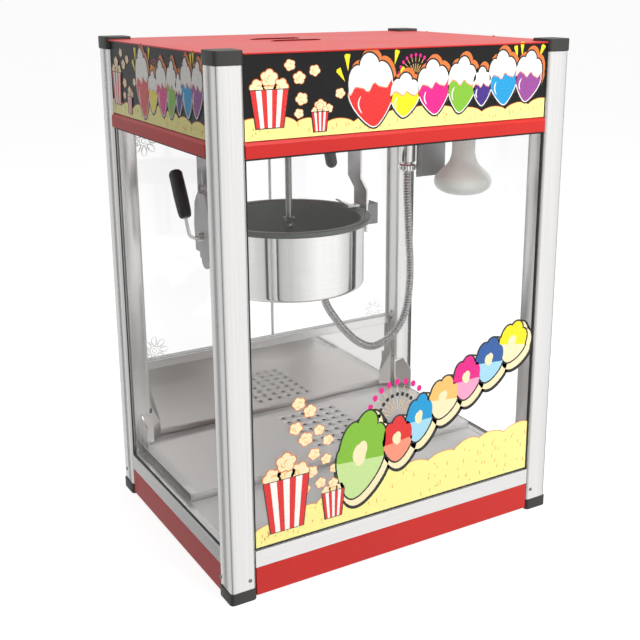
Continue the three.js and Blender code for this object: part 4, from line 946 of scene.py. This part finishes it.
# %% Polished edges of the doors
# A clear pane is seen by its edges, where the light that runs inside it comes out.
pane_edge = worked("pane_edge", (0.7, 0.77, 0.75), (0.78, 0.85, 0.83), (0.2, 0.3), (40, 40, 40),
                   0.0, 9.0, Alpha=0.5)
EDGE_SECTION = [(-0.04, -2.54), (0.8, -2.54), (0.8, 2.54), (-0.04, 2.54)]
for node in ("door_left", "door_right"):
    low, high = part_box(node)
    mitred("edge_" + node, (low + high) / 2, (high.x - low.x) / 2, (high.z - low.z) / 2, (1, 0, 0),
           EDGE_SECTION, pane_edge, node)
print("edges on 2 doors")

# %% [markdown]
# The clear doors carry an etched rosette near each outer corner. Etching leaves the surface white
# and rough, so each line of the rosette is a flat ribbon of frosted white on the pane.

# %% Etched rosettes
etched = worked("etched_white", grey(0.62), grey(0.76), (0.6, 0.8), (900, 900, 900), 0.00004, 60.0,
                Alpha=0.75)


def rosette(sheet, place, size):
    """Eight looped petals on a circle, a smaller ring of curls between them, and two rings."""
    t = np.linspace(0.02, 2 * np.pi - 0.02, 26)
    for k in range(8):
        a = k * np.pi / 4
        turn = np.array([[math.cos(a), math.sin(a)], [-math.sin(a), math.cos(a)]])
        petal = np.stack([0.33 + 0.15 * np.cos(t), 0.085 * np.sin(t)], 1) @ turn
        curl = np.stack([0.26 + 0.05 * np.cos(t), 0.11 + 0.05 * np.sin(t)], 1) @ turn
        ink(sheet, stroke(petal * size + place, 1.3), WHITE, 0)
        ink(sheet, stroke(curl * size + place, 1.0), WHITE, 1)
    for radius in (0.075, 0.15):
        ring = np.stack([np.cos(t), np.sin(t)], 1) * radius
        ink(sheet, stroke(ring * size + place, 1.2), WHITE, 2)


ROSETTE_SIZE = 50
ROSETTE_ABOVE_FOOT, ROSETTE_BELOW_TOP = 13, 28
for node, across in (("door_left", -220.0), ("door_right", 207.0)):
    low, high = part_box(node)
    sheet = new_sheet()
    for height in (low.z / MM + ROSETTE_ABOVE_FOOT, high.z / MM - ROSETTE_BELOW_TOP):
        rosette(sheet, np.array([across, height]), ROSETTE_SIZE)
    etching = print_piece("etching_" + node, sheet, (0, low.y - 0.05 * MM, 0), (1, 0, 0), etched,
                          BODY_OF[node])
print("etching on 2 doors")

# %% [markdown]
# The floor of the cabinet is perforated, so that unpopped kernels fall into the drawer. Each hole
# stands in a rectangular cell: a ring of faces joins the round edge to the cell's straight edge.
# The cells' edges have the same points on both sides, so the sheet closes between them, and
# Solidify gives it its thickness.

# %% Perforated deck
deck_low, deck_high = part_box("deck")
SHEET = 0.5 * MM
HOLES_X, HOLES_Y, HOLE_RADIUS = 38.5 * MM, 21 * MM, 3.2 * MM
PITCH = np.array([19.1, 21.1]) * MM
HOLES_IN_ROW, HOLE_ROWS = 6, 7
SIDE_STEPS = 8  # points along each side of a cell
TONGUE_X, TONGUE_Y = 240.2 * MM, 170.2 * MM  # the narrower part between the rear posts


def hole_cells():
    """Around each middle, points of a rectangle and of the circle in it: a rectangle's point
    (x, y) has the circle's point radius * (x, y) / length(x, y)."""
    step = np.linspace(-1, 1, SIDE_STEPS + 1)[:-1]
    one = np.ones(SIDE_STEPS)
    rectangle = np.concatenate([np.stack(side, 1) for side in
                                ((step, -one), (one, step), (-step, one), (-one, -step))]) * PITCH / 2
    circle = rectangle / np.linalg.norm(rectangle, axis=1)[:, None] * HOLE_RADIUS
    row, column = np.divmod(np.arange(HOLE_ROWS * HOLES_IN_ROW), HOLES_IN_ROW)
    middles = np.stack([HOLES_X + (column - (HOLES_IN_ROW - 1) / 2) * PITCH[0],
                        HOLES_Y + row * PITCH[1]], 1)
    flat = middles[:, None, None] + np.stack([rectangle, circle])[None]
    around = 4 * SIDE_STEPS
    faces = [face for k in range(len(middles))
             for face in grid_faces(2, around, False, True, k * 2 * around)]
    return flat.reshape(-1, 2), faces


def deck_sheet():
    """The upper side of the whole sheet: a grid of strips whose lines go through every point of
    the cells' edges, with the cells in its middle, a narrower tongue behind and a fold in front."""
    cells, cell_faces = hole_cells()
    low, high = cells.min(axis=0), cells.max(axis=0)
    lines_x = np.linspace(low[0], high[0], SIDE_STEPS * HOLES_IN_ROW + 1)
    lines_y = np.linspace(low[1], high[1], SIDE_STEPS * HOLE_ROWS + 1)
    xs = np.concatenate([[deck_low.x, -TONGUE_X], lines_x, [TONGUE_X, deck_high.x]])
    ys = np.concatenate([[deck_low.y, deck_low.y], lines_y, [TONGUE_Y, deck_high.y]])
    zs = np.full(len(ys), deck_high.z)
    zs[0] = deck_low.z
    strips = np.stack([*np.meshgrid(xs, ys), np.repeat(zs[:, None], len(xs), axis=1)], -1)
    row, column = np.divmod(np.arange((len(ys) - 1) * (len(xs) - 1)), len(xs) - 1)
    holed = (row >= 2) & (row < len(ys) - 3) & (column >= 2) & (column < len(xs) - 3)
    beside = (row == len(ys) - 2) & ((column == 0) | (column == len(xs) - 2))
    kept = np.flatnonzero(~holed & ~beside)
    strip_faces = grid_faces(len(ys), len(xs), first=len(cells))
    raised = np.column_stack([cells, np.full(len(cells), deck_high.z)])
    points = np.concatenate([raised, strips.reshape(-1, 3)])
    return points, cell_faces + [strip_faces[k] for k in kept]


deck = make_mesh("perforated_deck", *deck_sheet())
if sum(face.normal.z for face in deck.data.polygons) < 0:
    deck.data.flip_normals()
sheet = deck.modifiers.new("sheet", "SOLIDIFY")
sheet.thickness = SHEET
sheet.offset = -1.0
stand_for(deck, "deck", brushed)
print("perforated deck:", HOLE_ROWS * HOLES_IN_ROW, "holes")

# %% [markdown]
# Kernels fall from the holes to the drawer through a short duct. Its near black lining is painted shade:
# a dark sheet under the holes, so that they look as dark as holes in shadow. Its four rims, the inner
# and the outer one at both ends, each have the same four corners, and faces join each rim to the next.

# %% Chute under the holes, black as painted shade
CHUTE_MIDDLE, CHUTE_REACH = np.array([40, 85.5]) * MM, np.array([60, 79.5]) * MM
CHUTE_FOOT, CHUTE_TOP, CHUTE_WALL = 70.3 * MM, 82.3 * MM, 0.8 * MM
corner_signs = np.array([(-1, -1), (1, -1), (1, 1), (-1, 1)])
rims = [np.column_stack([CHUTE_MIDDLE + corner_signs * (CHUTE_REACH + grow), np.full(4, height)])
        for grow, height in ((0, CHUTE_FOOT), (0, CHUTE_TOP), (CHUTE_WALL, CHUTE_TOP),
                             (CHUTE_WALL, CHUTE_FOOT))]
chute = make_mesh("crumb_chute_painted_shade", np.array(rims), grid_faces(len(rims), 4, True, True))
# Near black walls: painted shade that keeps the holes dark.
chute_painted_shade = worked("chute_painted_shade", grey(0.008), grey(0.014), (0.6, 0.8), (300, 300, 300), 0.0, 20.0,
                     Specular_IOR_Level=0.1)
fitted(chute, "deck", chute_painted_shade)
print("chute lined")

# %% [markdown]
# ## Screws and the inlet
# Small round parts are turned about a vertical axis and then laid over, so that their axis points
# out of the panel that they sit in.

# %% Round parts that face sideways
def facing(name, profile, place, out, material, node, sides=32):
    """A turned piece with its foot at place and its axis along out, fitted to the node."""
    piece = turned(name, np.array(profile) * MM, (0, 0), sides)
    turn = Vector((0, 0, 1)).rotation_difference(Vector(out)).to_matrix().to_4x4()
    piece.data.transform(Matrix.Translation(Vector(place) * MM) @ turn)
    return fitted(piece, node, material)


SCREW_HEAD = [(0, -1), (2.9, -1), (2.9, 0.1), (2.5, 0.7), (1.4, 0.95), (1.2, 0.3), (0, 0.3)]
SCREWS = {
    "post_front_left": (((-250, -208.5, 31), (0, -1, 0)), ((-278.5, -173, 27.5), (-1, 0, 0))),
    "post_front_right": (((248, -208.5, 34.6), (0, -1, 0)), ((278.5, -173, 27.5), (1, 0, 0))),
    "post_rear_left": (((-278.5, 198, 34.5), (-1, 0, 0)), ((-240.5, 190, 207), (1, 0, 0)),
                       ((-240.5, 190, 193), (1, 0, 0))),
    "post_rear_right": (((278.5, 198, 34.5), (1, 0, 0)), ((240.5, 184, 228), (-1, 0, 0)),
                        ((240.5, 184, 215), (-1, 0, 0))),
    "rear_panel": tuple(((x, 204.5, z), (0, 1, 0)) for x in (-225, 225) for z in (645, 718)),
    "hanger_left": (((-226, -34, 543), (-1, 0, 0)),),
}
for node, heads in SCREWS.items():
    for k, (place, out) in enumerate(heads):
        facing(f"screw_{node}_{k + 1}", SCREW_HEAD, place, out, shaft_steel, node)
print("screws:", sum(len(heads) for heads in SCREWS.values()))

# %% Mains inlet
inlet_low, inlet_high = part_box("cord_inlet")
inlet_middle = (inlet_low + inlet_high) / 2 / MM
foot = (inlet_middle.x, inlet_low.y / MM, inlet_middle.z)
INLET_OUTLINE = [(0, 0), (11, 0), (11, 3.4), (10.2, 4.9), (8.4, 5), (8, 4.4), (8, 1.2), (0, 1.2)]
inlet = facing("mains_inlet", INLET_OUTLINE, foot, (0, 1, 0), black_plastic, "cord_inlet", sides=64)
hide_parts("cord_inlet")
PIN_OUTLINE = [(0, 1), (1.1, 1), (1.1, 4.1), (0.7, 4.5), (0, 4.5)]
for k, (across, up) in enumerate(((-4.2, -1.6), (4.2, -1.6), (0, 3.4))):
    place = (foot[0] + across, foot[1], foot[2] + up)
    facing(f"inlet_pin_{k + 1}", PIN_OUTLINE, place, (0, 1, 0), strap_steel, "cord_inlet",
           20)
print("inlet with 3 pins")
# %% [markdown]
# ## Louvres
# The top is pierced by two louvres. Each is a hood pressed out of the sheet: it is highest over the
# slot, falls off behind it, and narrows to nothing at both ends. The height is the product of two
# terms: one less the tenth power of the place along the slot, and a cosine over the depth.

# %% Louvre hoods
LOUVRE_PLACES = ((-58, 62), (-52, 8))
LOUVRE_HALF, LOUVRE_DEPTH, SLOT_HALF = 42.0, 12.0, 3.0
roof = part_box("top_panel")[1].z
HOOD_HEIGHT, CLEAR = 1.7 * MM, 0.5 * MM  # the hood stays clear of the caps' tops
hood_height = min(HOOD_HEIGHT, cad_high.z - roof - CLEAR)
along, behind = np.meshgrid(np.linspace(-1, 1, 61), np.linspace(0, 1, 13), indexing="ij")
hood_rise = (1 - np.abs(along) ** 10) * np.cos(behind * np.pi / 2) ** 0.8
# The dark red of the mouth is painted shade: the shadow under each hood.
hood_painted_shade = worked("hood_painted_shade", (0.1, 0.012, 0.01), (0.13, 0.018, 0.014), (0.7, 0.8),
                    (300, 300, 300), 0.0, 20.0, Specular_IOR_Level=0.1)
SLIGHTLY = 0.01 * MM
MOUTH_DEPTH = 0.3 * MM


def louvre_sheet(name, points, outward, material):
    """One sheet of a louvre, the pressed hood or the dark sheet of painted shade in its mouth, turned so
    that most of it faces outward, on the top panel.
    """
    piece = make_mesh(name, points, grid_faces(*points.shape[:2]))
    if sum(face.normal.dot(outward) for face in piece.data.polygons) < 0:
        piece.data.flip_normals()
    fitted(piece, "top_panel", material)


for k, (x, y) in enumerate(LOUVRE_PLACES):
    hood = np.stack([x * MM + along * LOUVRE_HALF * MM, (y - SLOT_HALF + behind * LOUVRE_DEPTH) * MM,
                     roof + 2 * SLIGHTLY + hood_rise * hood_height], -1)
    louvre_sheet(f"louvre_hood_{k + 1}", hood, Vector((0, 0, 1)), red_paint)
    # A dark sheet standing in the mouth, below the hood's front edge, is painted shade for the dark
    # under the hood.
    lip = hood[:, 0] + [0, MOUTH_DEPTH, 0]
    mouth = np.stack([lip, lip * [1, 1, 0] + [0, 0, roof + SLIGHTLY]], axis=1)
    louvre_sheet(f"louvre_mouth_painted_shade_{k + 1}", mouth, Vector((0, -1, 0)), hood_painted_shade)
print("louvres:", len(LOUVRE_PLACES), "with hoods", round(hood_height / MM, 2), "mm high")

# %% [markdown]
# ## Floor and light
# The machine stands on a plain pale floor under soft studio light: a wide lamp from the front right
# and one from above. Polished steel shows whatever is around it, and in a studio that is white
# screens with dark gaps between them. Screens could be built as objects, but they would get in the
# way of other views. So the surround is drawn by direction: reflections see the screens and their
# gaps, the camera sees an even pale backdrop, and everything else gets a dim fill.

# %% Floor
FLOOR_SIZE = 240.0
floor = make_mesh("floor", np.array([(-1, -1, 0), (1, -1, 0), (1, 1, 0), (-1, 1, 0)]) * FLOOR_SIZE / 2,
                  [[0, 1, 2, 3]])
floor_paint = worked("floor_paint", grey(0.28), grey(0.3), (0.6, 0.7), (3, 3, 3),
                     Emission_Color=(1, 1, 1, 1), Emission_Strength=0.86, Specular_IOR_Level=0.0)
floor.data.materials.append(floor_paint)
floor.visible_diffuse = False
floor.visible_glossy = False

# %% Lamps
def soft_lamp(name, place, size, power, mirrored=False, aim=(0, 0, 0.35)):
    """A square area lamp that looks at a point of the machine. Only a mirrored one shows in
    reflections."""
    data = bpy.data.lights.new(name, "AREA")
    data.size, data.energy = size, power
    lamp = bpy.data.objects.new(name, data)
    lamp.location = place
    lamp.rotation_mode = "QUATERNION"
    lamp.rotation_quaternion = (Vector(place) - Vector(aim)).to_track_quat("Z", "Y")
    lamp.visible_glossy = mirrored
    bpy.context.scene.collection.objects.link(lamp)


soft_lamp("key_lamp", (1.0, -2.4, 1.5), 1.6, 74)
soft_lamp("top_lamp", (0.2, -0.2, 2.4), 1.8, 32, True)

# %% Surround
# Stops of the round of screens: the direction in degrees from straight ahead of the machine, to the
# right, and the brightness that reflections see from there on.
SCREENS = ((-180, 0.95), (-160, 0.95), (-158.5, 0.02), (-150.5, 0.02), (-149.5, 1.0), (-128, 0.95),
           (-84, 0.8), (-66, 0.6), (-64, 0.01), (-46, 0.01), (-43, 0.5), (-12, 0.8), (18, 1.15),
           (48, 1.1), (74, 0.7), (77, 0.01), (92, 0.01), (96, 0.85), (125, 0.75), (138, 0.75),
           (175, 0.72))
FILL = 0.36
BACKDROP = 0.97
world = bpy.data.worlds.new("surround")
world.use_nodes = True
sky = world.node_tree
direction = add_node(sky, "TexCoord").outputs["Generated"]
parts = add_node(sky, "SeparateXYZ", {"Vector": direction})
ahead = add_node(sky, "Math", {0: parts.outputs["Y"], 1: -1.0}, operation="MULTIPLY")
bearing = add_node(sky, "Math", {0: parts.outputs["X"], 1: ahead.outputs[0]}, operation="ARCTAN2")
share = add_node(sky, "MapRange", {"Value": bearing.outputs[0], "From Min": -math.pi,
                                   "From Max": math.pi})
screens = add_node(sky, "ValToRGB", {"Fac": share.outputs["Result"]})
stops = screens.color_ramp.elements
while len(stops) < len(SCREENS):
    stops.new(0.5)
for stop, (degrees, brightness) in zip(stops, SCREENS):
    stop.position, stop.color = (degrees + 180) / 360, (*grey(brightness), 1)
rays = add_node(sky, "LightPath")
fill = add_node(sky, "MixRGB", {"Fac": rays.outputs["Is Glossy Ray"], "Color1": (*grey(FILL), 1),
                                "Color2": screens.outputs["Color"]})
backdrop = add_node(sky, "MixRGB", {"Fac": rays.outputs["Is Camera Ray"],
                                    "Color1": fill.outputs["Color"], "Color2": (*grey(BACKDROP), 1)})
sky.links.new(backdrop.outputs["Color"], sky.nodes["Background"].inputs["Color"])
bpy.context.scene.world = world
print("floor, lamps and surround stand")
